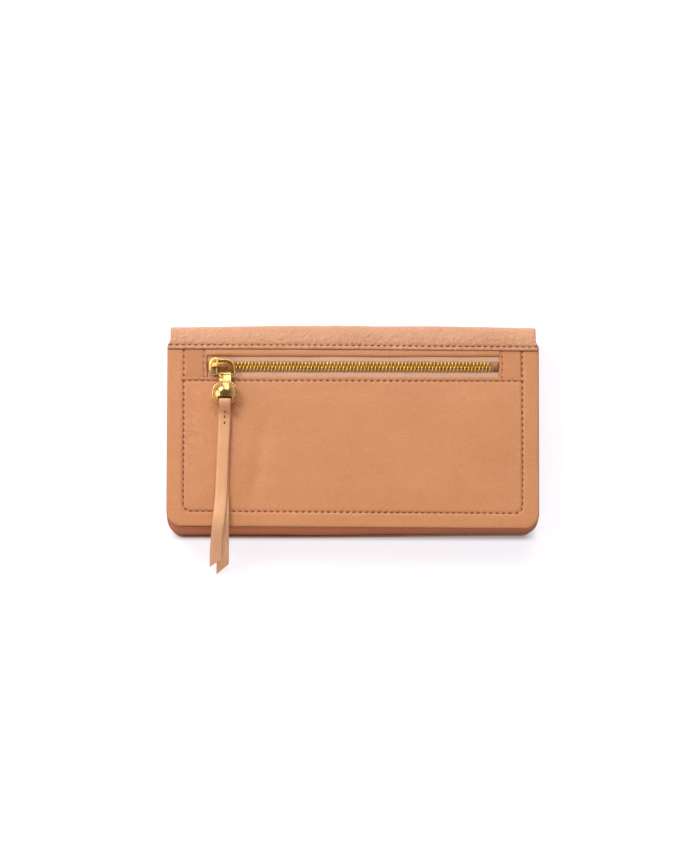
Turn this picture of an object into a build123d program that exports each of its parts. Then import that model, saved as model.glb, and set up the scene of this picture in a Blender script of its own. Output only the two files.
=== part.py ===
from build123d import *
import math
import os

os.makedirs("parts", exist_ok=True)

# A long flap wallet, closed and lying on its flap with the back panel up.
# Millimetres. +X runs along the wallet to the closed end of the back zip, +Y to the
# fold of the flap, +Z up. The origin is under the middle of the wallet, on the surface.

# overall
width = 197.0
depth = 111.5
thickness = 24.0
half_depth = depth / 2
corner_radius = 8.0

# flap leather and its fold
leather = 1.2
fold_radius = 8.0
fold_centre_y = half_depth - fold_radius
fold_top_z = thickness - fold_radius
fold_low_z = fold_radius
fold_mid_radius = fold_radius - leather / 2
lining_radius = 6.5
hinge_offset = fold_mid_radius * math.pi / 4
fold_width = 193.4
hem_width = 196.2
hem_y = 41.25

# back panel, its zip window and the zip
panel_width = 196.6
panel_low_y = -54.75
panel_low_z = 23.0
window_half = 87.8
window_low_y = 26.35
welt_low_y = 37.5
tab_edge = 76.8
tab_step = 0.2
zip_y = 32.0
zip_z = 22.75
tape = 0.5
tape_width = 7.2
tooth_pitch = 1.89
tooth_width = 0.8
tooth_reach = 2.65
tooth_mesh = 0.5
tooth_height = 2.2
zip_start_x = -75.9
zip_teeth_count = 79
slider_x = -69.35
slider_length = 14.3

# pull on the back zip
ring_z = 26.3
ring_wire = 0.55
ring_left_x = -71.95
ring_right_x = -62.45
ring_low_y = 26.9
ring_high_y = 34.95
charm_x = -67.6
charm_y = 16.5
charm_z = 28.8
charm_radius = 6.85
charm_half_height = 4.6
slot_width = 7.7
slot_low_y = 11.5
slot_high_y = 13.7
loop_width = 6.1

# leather lace
lace_width = 6.5
lace = 1.2
tail_start_y = 6.0
tail_gap = 0.45
front_tail_turn = -4.0
rear_tail_x = -68.45
front_tail_x = -67.9

# Route of each tail of the lace: distance run towards the bottom edge, then height.
rear_route = [
    (0, 24.75),
    (14.5, 25.0),
    (29.5, 24.8),
    (44, 25.0),
    (60.5, 27.6),
    (69.5, 15.0),
    (73.8, 3.6),
    (81.3, 0.9),
]
front_route = [
    (0, 26.05),
    (14.5, 26.4),
    (29.5, 26.15),
    (44, 26.4),
    (61.2, 29.2),
    (71.5, 15.5),
    (77.2, 1.9),
]

# inner leaves
slot_panel = 0.35
front_leaf_low_y = -54.5
front_leaf_high_y = 40.0
front_panel_z = 6.3
divider_top_y = 37.0
coin_zip_y = 28.0
coin_zip_z = 12.6
coin_zip_half = 80.0
coin_slider_x = -76.0


def finish(piece, name):
    piece.part.label = name
    export_step(piece.part, "parts/" + name + ".step")


def leaf(name, half_width, low_y, high_y, low_z, thick, corner=0.0):
    # A flat sheet whose two corners at the bottom edge of the wallet are rounded.
    with BuildPart() as sheet:
        with BuildSketch(Plane.XY.offset(low_z)):
            with Locations((0, (low_y + high_y) / 2)):
                Rectangle(2 * half_width, high_y - low_y)
        extrude(amount=thick)
        if corner > 0:
            low_edges = sheet.edges().filter_by(Axis.Z).group_by(Axis.Y)[0]
            fillet(low_edges, corner)
    finish(sheet, name)


def block(name, low, high, soft=0.0):
    # A rectangular piece between two corners, with its upright edges eased.
    with BuildPart() as piece:
        with BuildSketch(Plane.XY.offset(low[2])):
            with Locations(((low[0] + high[0]) / 2, (low[1] + high[1]) / 2)):
                Rectangle(high[0] - low[0], high[1] - low[1])
        extrude(amount=high[2] - low[2])
        if soft > 0:
            fillet(piece.edges().filter_by(Axis.Z), soft)
    finish(piece, name)


# Flap -----------------------------------------------------------------------

def make_flap_outer():
    with BuildPart() as flap:
        with BuildSketch(Plane.YZ):
            with BuildLine():
                Line((-half_depth, leather / 2), (fold_centre_y, leather / 2))
                CenterArc((fold_centre_y, fold_low_z), fold_mid_radius, -90, 45)
            trace(line_width=leather)
        extrude(amount=fold_width / 2, both=True)
        low_edges = flap.edges().filter_by(Axis.Z).group_by(Axis.Y)[0]
        fillet(low_edges, corner_radius)
    finish(flap, "flap_outer")


def make_flap_spine():
    with BuildPart() as spine:
        with BuildSketch(Plane.YZ):
            with BuildLine():
                CenterArc((fold_centre_y, fold_low_z), fold_mid_radius, -45, 45)
                Line(
                    (fold_centre_y + fold_mid_radius, fold_low_z),
                    (fold_centre_y + fold_mid_radius, fold_top_z),
                )
                CenterArc((fold_centre_y, fold_top_z), fold_mid_radius, 0, 45)
            trace(line_width=leather)
        extrude(amount=fold_width / 2, both=True)
    finish(spine, "flap_spine")


def make_spine_lining():
    lining = 0.5
    with BuildPart() as spine:
        with BuildSketch(Plane.YZ):
            with BuildLine():
                CenterArc((fold_centre_y, fold_low_z), lining_radius, -40, 40)
                Line(
                    (fold_centre_y + lining_radius, fold_low_z),
                    (fold_centre_y + lining_radius, fold_top_z),
                )
                CenterArc((fold_centre_y, fold_top_z), lining_radius, 0, 40)
            trace(line_width=lining)
        extrude(amount=fold_width / 2 - 3, both=True)
    finish(spine, "spine_lining")


def make_flap_hem():
    with BuildPart() as hem:
        with BuildSketch(Plane.YZ):
            with BuildLine():
                Line((hem_y, thickness - leather / 2), (fold_centre_y, thickness - leather / 2))
                CenterArc((fold_centre_y, fold_top_z), fold_mid_radius, 90, -45)
            trace(line_width=leather)
        extrude(amount=hem_width / 2, both=True)
    finish(hem, "flap_hem")


def make_snap():
    # Stud on the flap, and the socket on the front leaf that it presses into.
    snap_y = -40.0
    with BuildPart() as stud:
        with BuildSketch(Plane.XY.offset(2.6)):
            with Locations((0, snap_y)):
                Circle(6.5)
        extrude(amount=1.2)
        with BuildSketch(Plane.XY.offset(3.8)):
            with Locations((0, snap_y)):
                Circle(2.2)
        extrude(amount=1.5)
        fillet(stud.faces().sort_by(Axis.Z)[-1].edges(), 0.4)
    finish(stud, "snap_stud")
    with BuildPart() as socket:
        with BuildSketch(Plane.XY.offset(4.3)):
            with Locations((0, snap_y)):
                Circle(6.2)
                Circle(2.6, mode=Mode.SUBTRACT)
        extrude(amount=front_panel_z - 4.3)
    finish(socket, "snap_socket")


make_flap_outer()
make_flap_spine()
make_spine_lining()
make_flap_hem()
make_snap()
leaf("flap_board", 91.0, -50.5, 42.0, leather, 0.8, 6.0)
leaf("flap_lining", 94.0, -53.0, 45.0, 2.0, 0.6, 7.0)
for number in range(3):
    slot_top = 34.0 - 8.0 * number
    slot_z = 2.6 + slot_panel * number
    leaf("flap_card_slot_%d" % (number + 1), 92.0, -28.0, slot_top, slot_z, slot_panel)

# Back leaf ------------------------------------------------------------------

def make_back_panel():
    with BuildPart() as panel:
        with BuildSketch(Plane.XY.offset(panel_low_z)):
            with Locations((0, (panel_low_y + hem_y) / 2)):
                Rectangle(panel_width, hem_y - panel_low_y)
            with Locations((0, (window_low_y + hem_y) / 2)):
                Rectangle(2 * window_half, hem_y - window_low_y, mode=Mode.SUBTRACT)
        extrude(amount=thickness - panel_low_z)
        low_edges = panel.edges().filter_by(Axis.Z).group_by(Axis.Y)[0]
        fillet(low_edges, corner_radius)
    finish(panel, "back_panel")


def make_upper_welt():
    with BuildPart() as welt:
        with BuildSketch(Plane.YZ):
            with Locations(((welt_low_y + hem_y) / 2, (panel_low_z + thickness) / 2)):
                Rectangle(hem_y - welt_low_y, thickness - panel_low_z)
        extrude(amount=tab_edge, both=True)
        lip = welt.edges().filter_by(Axis.X).group_by(Axis.Y)[0].sort_by(Axis.Z)[-1]
        fillet(lip, 0.7)
    finish(welt, "upper_welt")


def make_edge_boards():
    # Three strips that fill the rim of the back leaf, round the zip pocket.
    low_z = 20.35
    high_z = 22.9
    with BuildPart() as boards:
        with BuildSketch(Plane.XY.offset(low_z)):
            with Locations((-94.0, -4.0), (94.0, -4.0)):
                Rectangle(5.0, 84.0)
            with Locations((0, -51.0)):
                Rectangle(178.0, 5.0)
        extrude(amount=high_z - low_z)
    finish(boards, "back_edge_boards")


def make_gusset(name, side):
    # A pleated leather side, folded in a W between the back leaf and the front leaf.
    with BuildPart() as gusset:
        with BuildSketch(Plane.XZ.offset(-36.0)):
            with BuildLine():
                Polyline(
                    (side * 88.6, 8.2),
                    (side * 96.2, 10.9),
                    (side * 90.2, 13.5),
                    (side * 96.2, 16.1),
                    (side * 88.6, 18.8),
                )
            trace(line_width=0.7)
        extrude(amount=88.0)
    finish(gusset, name)


make_back_panel()
make_upper_welt()
make_edge_boards()
make_gusset("gusset_left", -1)
make_gusset("gusset_right", 1)
for end, side in (("left", -1), ("right", 1)):
    tab_x = sorted((side * tab_edge, side * window_half))
    block(
        "zip_tab_" + end,
        (tab_x[0], window_low_y, panel_low_z),
        (tab_x[1], hem_y, thickness - tab_step),
    )
leaf("pocket_lining_rear", 90.0, -46.0, 26.0, 22.1, 0.3)
leaf("pocket_lining_front", 97.0, -54.0, 42.0, 20.0, 0.3, 7.5)
leaf("back_inner_lining", 97.0, -54.0, 42.0, 19.5, 0.4, 7.5)
block("bottom_gusset", (-90.0, -54.2, 7.7), (90.0, -53.4, 19.4))

# Zips -----------------------------------------------------------------------

def zip_teeth(name, first_x, count, centre_y, centre_z, height, side):
    # One row of metal teeth. The two rows are half a pitch apart and mesh in the middle.
    shift = 0.0 if side > 0 else tooth_pitch / 2
    head = -side * tooth_mesh
    root = side * tooth_reach
    spots = []
    for number in range(count):
        spots.append((first_x + shift + tooth_pitch * number, centre_y + (head + root) / 2))
    with BuildPart() as teeth:
        with BuildSketch(Plane.XY.offset(centre_z - height / 2)):
            with Locations(spots):
                Rectangle(tooth_width, abs(root - head))
        extrude(amount=height)
    finish(teeth, name)


def zip_slider(name, centre_x, centre_y, up, plate_low, plate_high, far_plate, far_outer, gap):
    # Two shaped plates, one each side of the chain, with flanges that hold the tapes in.
    # up is 1 where the bridge faces +Z, and -1 where it faces -Z.
    half = slider_length / 2
    outline = [
        (-half, -2.6),
        (-half + 2.6, -5.3),
        (1.0, -4.5),
        (half - 1.6, -3.7),
        (half, -2.0),
        (half, 2.0),
        (half - 1.6, 3.7),
        (1.0, 4.5),
        (-half + 2.6, 5.3),
        (-half, 2.6),
    ]
    corners = [(centre_x + x, centre_y + y) for x, y in outline]
    flange_inside = 3.05
    flange_outside = 3.7
    flange_half = half - 2.2
    with BuildPart() as slider:
        for inner, outer, lip in ((plate_low, plate_high, gap[0]), (far_plate, far_outer, gap[1])):
            with BuildSketch(Plane.XY.offset(min(inner, outer))):
                with BuildLine():
                    Polyline(*corners, close=True)
                make_face()
                fillet(vertices(), 0.6)
            extrude(amount=abs(outer - inner))
            with BuildSketch(Plane.XY.offset(min(inner, lip))):
                for edge in (-1, 1):
                    with Locations((centre_x, centre_y + edge * (flange_inside + flange_outside) / 2)):
                        Rectangle(2 * flange_half, flange_outside - flange_inside)
            extrude(amount=abs(lip - inner))
        crown_face = slider.faces().sort_by(Axis.Z)[-1 if up > 0 else 0]
        fillet(crown_face.edges(), 0.3)
    finish(slider, name)


def slider_bridge(name, left_x, right_x, centre_y, foot_z, up, rise, wide):
    # The strap over the slider, which holds the pull: two feet and a bowed top.
    strap = 0.8
    top = foot_z + up * rise
    middle = (left_x + right_x) / 2
    with BuildPart() as bridge:
        with BuildSketch(Plane.XZ.offset(-centre_y - wide / 2)):
            with BuildLine():
                Line((left_x, foot_z), (left_x, foot_z + up * (rise - 0.9)))
                ThreePointArc(
                    (left_x, foot_z + up * (rise - 0.9)),
                    (middle, top),
                    (right_x, foot_z + up * (rise - 0.9)),
                )
                Line((right_x, foot_z + up * (rise - 0.9)), (right_x, foot_z))
            trace(line_width=strap)
        extrude(amount=wide)
    finish(bridge, name)


block(
    "zip_tape_upper",
    (-80.0, zip_y + tooth_reach, zip_z - tape / 2),
    (80.0, zip_y + tape_width, zip_z + tape / 2),
)
block(
    "zip_tape_lower",
    (-80.0, zip_y - tape_width, zip_z - tape / 2),
    (80.0, zip_y - tooth_reach, zip_z + tape / 2),
)
zip_teeth("zip_teeth_upper", zip_start_x, zip_teeth_count, zip_y, zip_z, tooth_height, 1)
zip_teeth("zip_teeth_lower", zip_start_x, zip_teeth_count, zip_y, zip_z, tooth_height, -1)
block("zip_bottom_stop", (74.2, zip_y - 2.4, 21.8), (76.4, zip_y + 2.4, 23.7), 0.5)
with BuildPart() as top_stops:
    with BuildSketch(Plane.XY.offset(22.0)):
        with Locations((-78.2, zip_y - 1.7), (-78.2, zip_y + 1.7)):
            Rectangle(1.6, 1.6)
    extrude(amount=0.9)
finish(top_stops, "zip_top_stops")
zip_slider("zip_slider", slider_x, zip_y, 1, 24.05, 24.85, 21.4, 20.7, (23.3, 22.2))
slider_bridge("zip_slider_bridge", -74.4, -66.4, zip_y, 24.85, 1, 3.1, 2.2)

# Pull on the back zip ---------------------------------------------------------

def make_pull_ring():
    # Straight legs on the left and at the bottom, and a wide bend at the upper right.
    low_x, high_x = ring_left_x, ring_right_x
    low_y, high_y = ring_low_y, ring_high_y
    small = 1.6
    large = 5.2
    with BuildSketch(Plane.XY.offset(ring_z)) as outline:
        with BuildLine():
            Polyline((low_x, low_y), (high_x, low_y), (high_x, high_y), (low_x, high_y), close=True)
        make_face()
        left_corners = outline.vertices().group_by(Axis.X)[0]
        fillet(left_corners, small)
        low_right = outline.vertices().group_by(Axis.X)[-1].sort_by(Axis.Y)[0]
        fillet(low_right, small)
        high_right = outline.vertices().group_by(Axis.X)[-1].sort_by(Axis.Y)[-1]
        fillet(high_right, large)
    path = outline.sketch.wires()[0]
    with BuildPart() as ring:
        with BuildSketch(Plane(origin=path @ 0, z_dir=path % 0)):
            Circle(ring_wire)
        sweep(path=path)
    finish(ring, "pull_ring")


def bead():
    # A flattened ball: a wide crown above and below, and a tighter rim.
    crown_x, crown_z = 5.6, 2.65
    middle_x, middle_z = 3.0, 4.13
    with BuildPart() as ball:
        with BuildSketch(Plane.XZ.offset(-charm_y)):
            with BuildLine():
                ThreePointArc(
                    (charm_x, charm_z + charm_half_height),
                    (charm_x + middle_x, charm_z + middle_z),
                    (charm_x + crown_x, charm_z + crown_z),
                )
                ThreePointArc(
                    (charm_x + crown_x, charm_z + crown_z),
                    (charm_x + charm_radius, charm_z),
                    (charm_x + crown_x, charm_z - crown_z),
                )
                ThreePointArc(
                    (charm_x + crown_x, charm_z - crown_z),
                    (charm_x + middle_x, charm_z - middle_z),
                    (charm_x, charm_z - charm_half_height),
                )
                Line(
                    (charm_x, charm_z - charm_half_height),
                    (charm_x, charm_z + charm_half_height),
                )
            make_face()
        revolve(axis=Axis((charm_x, charm_y, charm_z), (0, 0, 1)))
    return ball.part


def make_ball_charm(ball):
    # The slot for the lace goes right through the ball.
    with BuildPart() as charm:
        add(ball)
        with BuildSketch(Plane.XY.offset(charm_z - 6)):
            with Locations((charm_x, (slot_low_y + slot_high_y) / 2)):
                Rectangle(slot_width, slot_high_y - slot_low_y)
        extrude(amount=12, mode=Mode.SUBTRACT)
    finish(charm, "ball_charm")


def make_charm_loop(ball):
    # A sleeve that turns on the ring, with a web down to the ball.
    with BuildPart() as loop:
        with BuildSketch(Plane.YZ.offset(charm_x - loop_width / 2)):
            with Locations((ring_low_y, ring_z)):
                Circle(1.35)
            with BuildLine():
                Polyline(
                    (ring_low_y - 0.6, ring_z - 1.1),
                    (ring_low_y + 0.2, ring_z + 1.1),
                    (22.0, 29.6),
                    (22.0, 27.2),
                    close=True,
                )
            make_face()
            with Locations((ring_low_y, ring_z)):
                Circle(0.75, mode=Mode.SUBTRACT)
        extrude(amount=loop_width)
        add(ball, mode=Mode.SUBTRACT)
    finish(loop, "charm_loop")


make_pull_ring()
ball_shape = bead()
make_ball_charm(ball_shape)
make_charm_loop(ball_shape)

# Lace -----------------------------------------------------------------------

def route_radii(points):
    # Each bend is as large as its two runs allow.
    radii = []
    for before, here, after in zip(points, points[1:], points[2:]):
        run_in = Vector(here[0] - before[0], here[1] - before[1])
        run_out = Vector(after[0] - here[0], after[1] - here[1])
        turn = math.radians(run_in.get_angle(run_out))
        shorter = min(run_in.length, run_out.length)
        radii.append(0.45 * shorter / math.tan(turn / 2))
    return radii


def lace_tail(name, start_x, turn, route):
    # A flat strip of lace on its route, with the end cut across at about 45 degrees.
    start = Vector(start_x, tail_start_y - tail_gap, 0)
    heading = Vector(0, -1, 0).rotate(Axis.Z, turn)
    side = Vector(0, 0, 1).cross(heading)
    radii = route_radii(route)
    with BuildPart() as tail:
        with BuildSketch(Plane(origin=start, x_dir=heading, z_dir=heading.cross(Vector(0, 0, 1)))):
            with BuildLine() as line:
                FilletPolyline(*route, radius=radii)
            trace(line_width=lace)
            length = sum(edge.length for edge in line.edges())
        extrude(amount=lace_width / 2, both=True)
        whole = tail.part.volume
        last_run = Vector(route[-1][0] - route[-2][0], route[-1][1] - route[-2][1]).normalized()
        along = heading * last_run.X + Vector(0, 0, 1) * last_run.Y
        tip = start + heading * route[-1][0] + Vector(0, 0, route[-1][1])
        with BuildSketch(Plane(origin=tip, x_dir=along, z_dir=along.cross(side))):
            with BuildLine():
                Polyline((0.01, -lace_width / 2), (0.01, lace_width), (-7.5, lace_width), close=True)
            make_face()
        extrude(amount=2.0, both=True, mode=Mode.SUBTRACT)
    print(name, "radii", [round(radius, 1) for radius in radii])
    print(name, "length", round(length, 1), "volume", round(whole, 1),
          "section x length", round(length * lace * lace_width, 1))
    finish(tail, name)


def make_strap_loop():
    # The part of the lace that goes through the slot and round the lip of the ball.
    with BuildPart() as loop:
        with BuildSketch(Plane.YZ.offset(charm_x - lace_width / 2)):
            with BuildLine():
                FilletPolyline(
                    (tail_start_y, front_route[0][1]),
                    (8.2, 26.6),
                    (9.6, 32.4),
                    (12.6, 32.9),
                    (12.6, 24.75),
                    (tail_start_y, rear_route[0][1]),
                    radius=[1.2, 0.9, 0.9, 0.7],
                )
            trace(line_width=lace)
        extrude(amount=lace_width)
    finish(loop, "strap_loop")


def make_strap_stitches():
    with BuildPart() as stitches:
        with BuildSketch(Plane.XY.offset(26.85)):
            with Locations((charm_x, 5.0), (charm_x, 2.9), (charm_x, 0.8)):
                RectangleRounded(1.5, 0.8, 0.35)
        extrude(amount=0.3)
    finish(stitches, "strap_stitches")


lace_tail("strap_rear_tail", rear_tail_x, 0.0, rear_route)
lace_tail("strap_front_tail", front_tail_x, front_tail_turn, front_route)
make_strap_loop()
make_strap_stitches()

# Divider with the coin pocket --------------------------------------------------

leaf("coin_wall_front", 86.0, -52.0, coin_zip_y - 6.5, 11.9, 0.4, 6.0)
leaf("coin_wall_rear", 86.0, -52.0, divider_top_y, 14.8, 0.4, 6.0)
block("coin_binding", (-86.0, divider_top_y, 12.0), (86.0, divider_top_y + 1.2, 15.2), 0.5)
coin_tape_low = coin_zip_z - 0.2
block(
    "coin_tape_upper",
    (-86.0, coin_zip_y + tooth_reach, coin_tape_low),
    (86.0, divider_top_y, coin_tape_low + 0.4),
)
block(
    "coin_tape_lower",
    (-86.0, coin_zip_y - 8.0, coin_tape_low),
    (86.0, coin_zip_y - tooth_reach, coin_tape_low + 0.4),
)
coin_teeth_count = int(2 * coin_zip_half / tooth_pitch)
zip_teeth("coin_teeth_upper", -coin_zip_half, coin_teeth_count, coin_zip_y, coin_zip_z, 1.8, 1)
zip_teeth("coin_teeth_lower", -coin_zip_half, coin_teeth_count, coin_zip_y, coin_zip_z, 1.8, -1)
zip_slider("coin_slider", coin_slider_x, coin_zip_y, -1, 11.5, 10.9, 13.7, 14.3, (12.1, 13.1))
slider_bridge("coin_slider_bridge", -79.5, -73.5, coin_zip_y, 10.9, -1, 2.1, 1.6)


def make_coin_pull():
    # A flat tab with a slot near its end, hung on the bridge.
    with BuildPart() as pull:
        with BuildSketch(Plane.XY.offset(9.85)):
            with Locations((coin_slider_x + 6.6, coin_zip_y)):
                RectangleRounded(17.0, 4.6, 1.6)
            with Locations((coin_slider_x + 1.5, coin_zip_y)):
                RectangleRounded(3.9, 2.4, 0.4, mode=Mode.SUBTRACT)
        extrude(amount=0.6)
    finish(pull, "coin_pull")


make_coin_pull()

# Front leaf -------------------------------------------------------------------

leaf("front_panel", 95.5, front_leaf_low_y, front_leaf_high_y, front_panel_z, 0.8, 7.5)
leaf("front_lining", 94.5, front_leaf_low_y + 1.0, front_leaf_high_y - 1.0, front_panel_z + 0.8, 0.4, 6.5)
for number in range(4):
    slot_top = 30.0 - 8.0 * number
    slot_z = front_panel_z - slot_panel * (number + 1)
    leaf("card_slot_%d" % (number + 1), 92.0, -28.0, slot_top, slot_z, slot_panel)
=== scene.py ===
import bpy
import bmesh
import math
from mathutils import Matrix, Vector, noise


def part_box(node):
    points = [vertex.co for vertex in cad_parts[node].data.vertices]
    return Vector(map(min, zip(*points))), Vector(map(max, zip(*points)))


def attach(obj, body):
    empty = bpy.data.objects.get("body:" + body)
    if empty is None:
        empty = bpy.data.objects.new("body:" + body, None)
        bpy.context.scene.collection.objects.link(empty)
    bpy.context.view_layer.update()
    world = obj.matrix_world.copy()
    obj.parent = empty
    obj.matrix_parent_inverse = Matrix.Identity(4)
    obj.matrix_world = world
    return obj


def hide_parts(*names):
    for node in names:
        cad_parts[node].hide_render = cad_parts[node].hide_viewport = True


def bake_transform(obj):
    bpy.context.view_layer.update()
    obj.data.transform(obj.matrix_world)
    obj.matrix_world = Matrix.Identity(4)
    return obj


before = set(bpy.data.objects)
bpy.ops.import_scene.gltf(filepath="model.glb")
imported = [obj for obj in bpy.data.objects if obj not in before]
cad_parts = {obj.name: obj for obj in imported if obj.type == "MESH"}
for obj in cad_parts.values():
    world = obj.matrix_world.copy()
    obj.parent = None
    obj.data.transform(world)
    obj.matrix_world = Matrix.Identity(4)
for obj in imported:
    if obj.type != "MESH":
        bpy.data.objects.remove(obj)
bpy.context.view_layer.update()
mm = 0.001
print("frame loaded,", len(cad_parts), "nodes")

# shared places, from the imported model
panelLow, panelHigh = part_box("back_panel")
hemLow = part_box("flap_hem")[0]
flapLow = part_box("flap_outer")[0]
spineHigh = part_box("flap_spine")[1]
weltLow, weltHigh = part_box("upper_welt")
tabLow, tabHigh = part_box("zip_tab_left")
top = panelHigh[2]
foldOuterY = spineHigh[1]
foldRadius = 8.0 * mm
foldCentreY = foldOuterY - foldRadius
windowHalf = -tabLow[0]
windowLow = tabLow[1]
zipY = (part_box("zip_teeth_upper")[0][1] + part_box("zip_teeth_lower")[1][1]) / 2


# camera and light

cameraValues = {
    "elevation": 77.5,
    "distance": 4.8,
    "aimX": -1.56 * mm,
    "aimY": 1.64 * mm,
    "aimZ": 12.0 * mm,
    "frameWidth": 370.7 * mm,
    "sensor": 36.0,
    "roll": 0.12,
}


def makeCamera(values):
    data = bpy.data.cameras.new("camera")
    data.sensor_fit = "HORIZONTAL"
    data.sensor_width = values["sensor"]
    data.lens = values["sensor"] * values["distance"] / values["frameWidth"]
    data.clip_end = 50.0
    camera = bpy.data.objects.new("camera", data)
    bpy.context.scene.collection.objects.link(camera)
    lift = math.radians(values["elevation"])
    aim = Vector((values["aimX"], values["aimY"], values["aimZ"]))
    away = Vector((0, -math.cos(lift), math.sin(lift)))
    camera.location = aim + away * values["distance"]
    turn = away.to_track_quat("Z", "Y").to_matrix()
    camera.rotation_euler = (turn @ Matrix.Rotation(math.radians(values["roll"]), 3, "Z")).to_euler()
    bpy.context.scene.camera = camera


lightValues = {
    "worldStops": (
        (0.0, (0.9, 0.9, 0.92)), (0.35, (0.7, 0.7, 0.72)), (0.7, (0.36, 0.36, 0.37)), (1.0, (0.2, 0.2, 0.2)),
    ),
    "worldStrength": 0.8,
    "key": {"place": (-0.95, 0.95, 1.35), "size": 0.7, "watts": 16.0, "tint": (1.0, 0.985, 0.96)},
    "overhead": {"place": (0.35, 1.5, 1.75), "size": 1.1, "watts": 13.0, "tint": (1.0, 1.0, 1.0)},
    "side": {"place": (-1.3, 0.0, 0.8), "size": 1.0, "watts": 5.0, "tint": (1.0, 1.0, 1.0)},
    "back": {"place": (0.1, 1.7, 0.7), "size": 1.1, "watts": 7.0, "tint": (1.0, 0.99, 0.98)},
    "fill": {"place": (-0.25, -1.4, 0.75), "size": 1.0, "watts": 4.0, "tint": (1.0, 0.99, 0.98)},
}


def makeLights(values):
    world = bpy.data.worlds.new("studio")
    world.use_nodes = True
    # bright near the horizon and darker overhead, so that the metal has something to mirror
    tree = world.node_tree
    back = tree.nodes["Background"]
    back.inputs["Strength"].default_value = values["worldStrength"]
    direction = tree.nodes.new("ShaderNodeTexCoord")
    split = tree.nodes.new("ShaderNodeSeparateXYZ")
    ramp = tree.nodes.new("ShaderNodeValToRGB")
    while len(ramp.color_ramp.elements) < len(values["worldStops"]):
        ramp.color_ramp.elements.new(0.5)
    for element, (place, colour) in zip(ramp.color_ramp.elements, values["worldStops"]):
        element.position = place
        element.color = (*colour, 1)
    tree.links.new(direction.outputs["Generated"], split.inputs[0])
    tree.links.new(split.outputs["Z"], ramp.inputs[0])
    tree.links.new(ramp.outputs[0], back.inputs["Color"])
    bpy.context.scene.world = world
    for name in ("key", "overhead", "side", "back", "fill"):
        one = values[name]
        data = bpy.data.lights.new(name, "AREA")
        data.shape = "SQUARE"
        data.size = one["size"]
        data.energy = one["watts"]
        data.color = one["tint"]
        light = bpy.data.objects.new(name, data)
        light.location = one["place"]
        light.rotation_euler = Vector(one["place"]).to_track_quat("Z", "Y").to_euler()
        light.visible_camera = False
        bpy.context.scene.collection.objects.link(light)
    bpy.context.scene.view_settings.view_transform = "Standard"


makeCamera(cameraValues)
makeLights(lightValues)
print("camera and lights placed")


# shader building

class Wire:
    # a number or colour on its way between nodes, which can be used in sums
    def __init__(self, sheet, socket):
        self.sheet = sheet
        self.socket = socket

    def sum(self, operation, first, second):
        return self.sheet.node("ShaderNodeMath", {"operation": operation}, [first, second])

    def __add__(self, other):
        return self.sum("ADD", self, other)

    def __radd__(self, other):
        return self.sum("ADD", other, self)

    def __sub__(self, other):
        return self.sum("SUBTRACT", self, other)

    def __rsub__(self, other):
        return self.sum("SUBTRACT", other, self)

    def __mul__(self, other):
        return self.sum("MULTIPLY", self, other)

    def __rmul__(self, other):
        return self.sum("MULTIPLY", other, self)

    def __abs__(self):
        return self.sum("ABSOLUTE", self, 0.0)


class Finish:
    # one material, and one method that makes any node in it
    def __init__(self, name):
        self.material = bpy.data.materials.new(name)
        self.material.use_nodes = True
        self.tree = self.material.node_tree
        self.tree.nodes.clear()
        self.out = self.tree.nodes.new("ShaderNodeOutputMaterial")

    def node(self, kind, settings=None, values=(), output=0):
        made = self.tree.nodes.new(kind)
        for key, value in (settings or {}).items():
            setattr(made, key, value)
        pairs = values.items() if isinstance(values, dict) else enumerate(values)
        for key, value in pairs:
            if isinstance(value, Wire):
                self.tree.links.new(value.socket, made.inputs[key])
            else:
                made.inputs[key].default_value = value
        return Wire(self, made.outputs[output])

    def place(self):
        return self.node("ShaderNodeTexCoord", output="Object")

    def stretched(self, scale, source=None):
        values = {"Vector": source or self.place(), "Scale": scale}
        return self.node("ShaderNodeMapping", {}, values)

    def cloud(self, scale, detail=3.0, rough=0.5, vector=None):
        values = {"Vector": vector or self.place(), "Scale": scale, "Detail": detail, "Roughness": rough}
        return self.node("ShaderNodeTexNoise", {}, values)

    def cells(self, scale, feature="F1", vector=None):
        values = {"Vector": vector or self.place(), "Scale": scale}
        return self.node("ShaderNodeTexVoronoi", {"feature": feature}, values, "Distance")

    def remap(self, value, low, high, toLow, toHigh):
        return self.node("ShaderNodeMapRange", {}, [value, low, high, toLow, toHigh])

    def blend(self, amount, first, second):
        made = self.tree.nodes.new("ShaderNodeMix")
        made.data_type = "RGBA"
        for key, value in ((0, amount), (6, first), (7, second)):
            if isinstance(value, Wire):
                self.tree.links.new(value.socket, made.inputs[key])
            elif key == 0:
                made.inputs[key].default_value = value
            else:
                made.inputs[key].default_value = (*value, 1)
        return Wire(self, made.outputs[2])

    def bump(self, height, strength, distance):
        values = {"Strength": strength, "Distance": distance, "Height": height}
        return self.node("ShaderNodeBump", {}, values)

    def surface(self, values):
        shader = self.node("ShaderNodeBsdfPrincipled", {}, values)
        self.tree.links.new(shader.socket, self.out.inputs["Surface"])
        return self.material


def linear(red, green, blue):
    channels = []
    for value in (red, green, blue):
        share = value / 255
        channels.append(share / 12.92 if share <= 0.04045 else ((share + 0.055) / 1.055) ** 2.4)
    return tuple(channels)


# each "edge" colour is the dark colour that the painted shade along edges mixes in
mainColours = {
    "main": linear(212, 142, 93), "deep": linear(192, 117, 69), "pale": linear(221, 154, 106),
    "edge": linear(112, 56, 28),
}
# the flap leather is the same tan leather as the panel, painted lighter and paler as painted light falling on
# the fold from behind
litBandColours = {
    "main": linear(212, 149, 106), "deep": linear(191, 123, 79), "pale": linear(222, 165, 127),
    "edge": linear(120, 62, 32),
}
# the bottom strip's leather, painted darker and redder than the panel as painted shade on its downward face
shadedSideColours = {
    "main": linear(166, 82, 26), "deep": linear(140, 63, 16), "pale": linear(184, 100, 42),
    "edge": linear(82, 34, 8),
}
slotColours = {
    "main": linear(208, 142, 100), "deep": linear(184, 116, 76), "pale": linear(220, 160, 120),
    "edge": linear(120, 62, 32),
}


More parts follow.
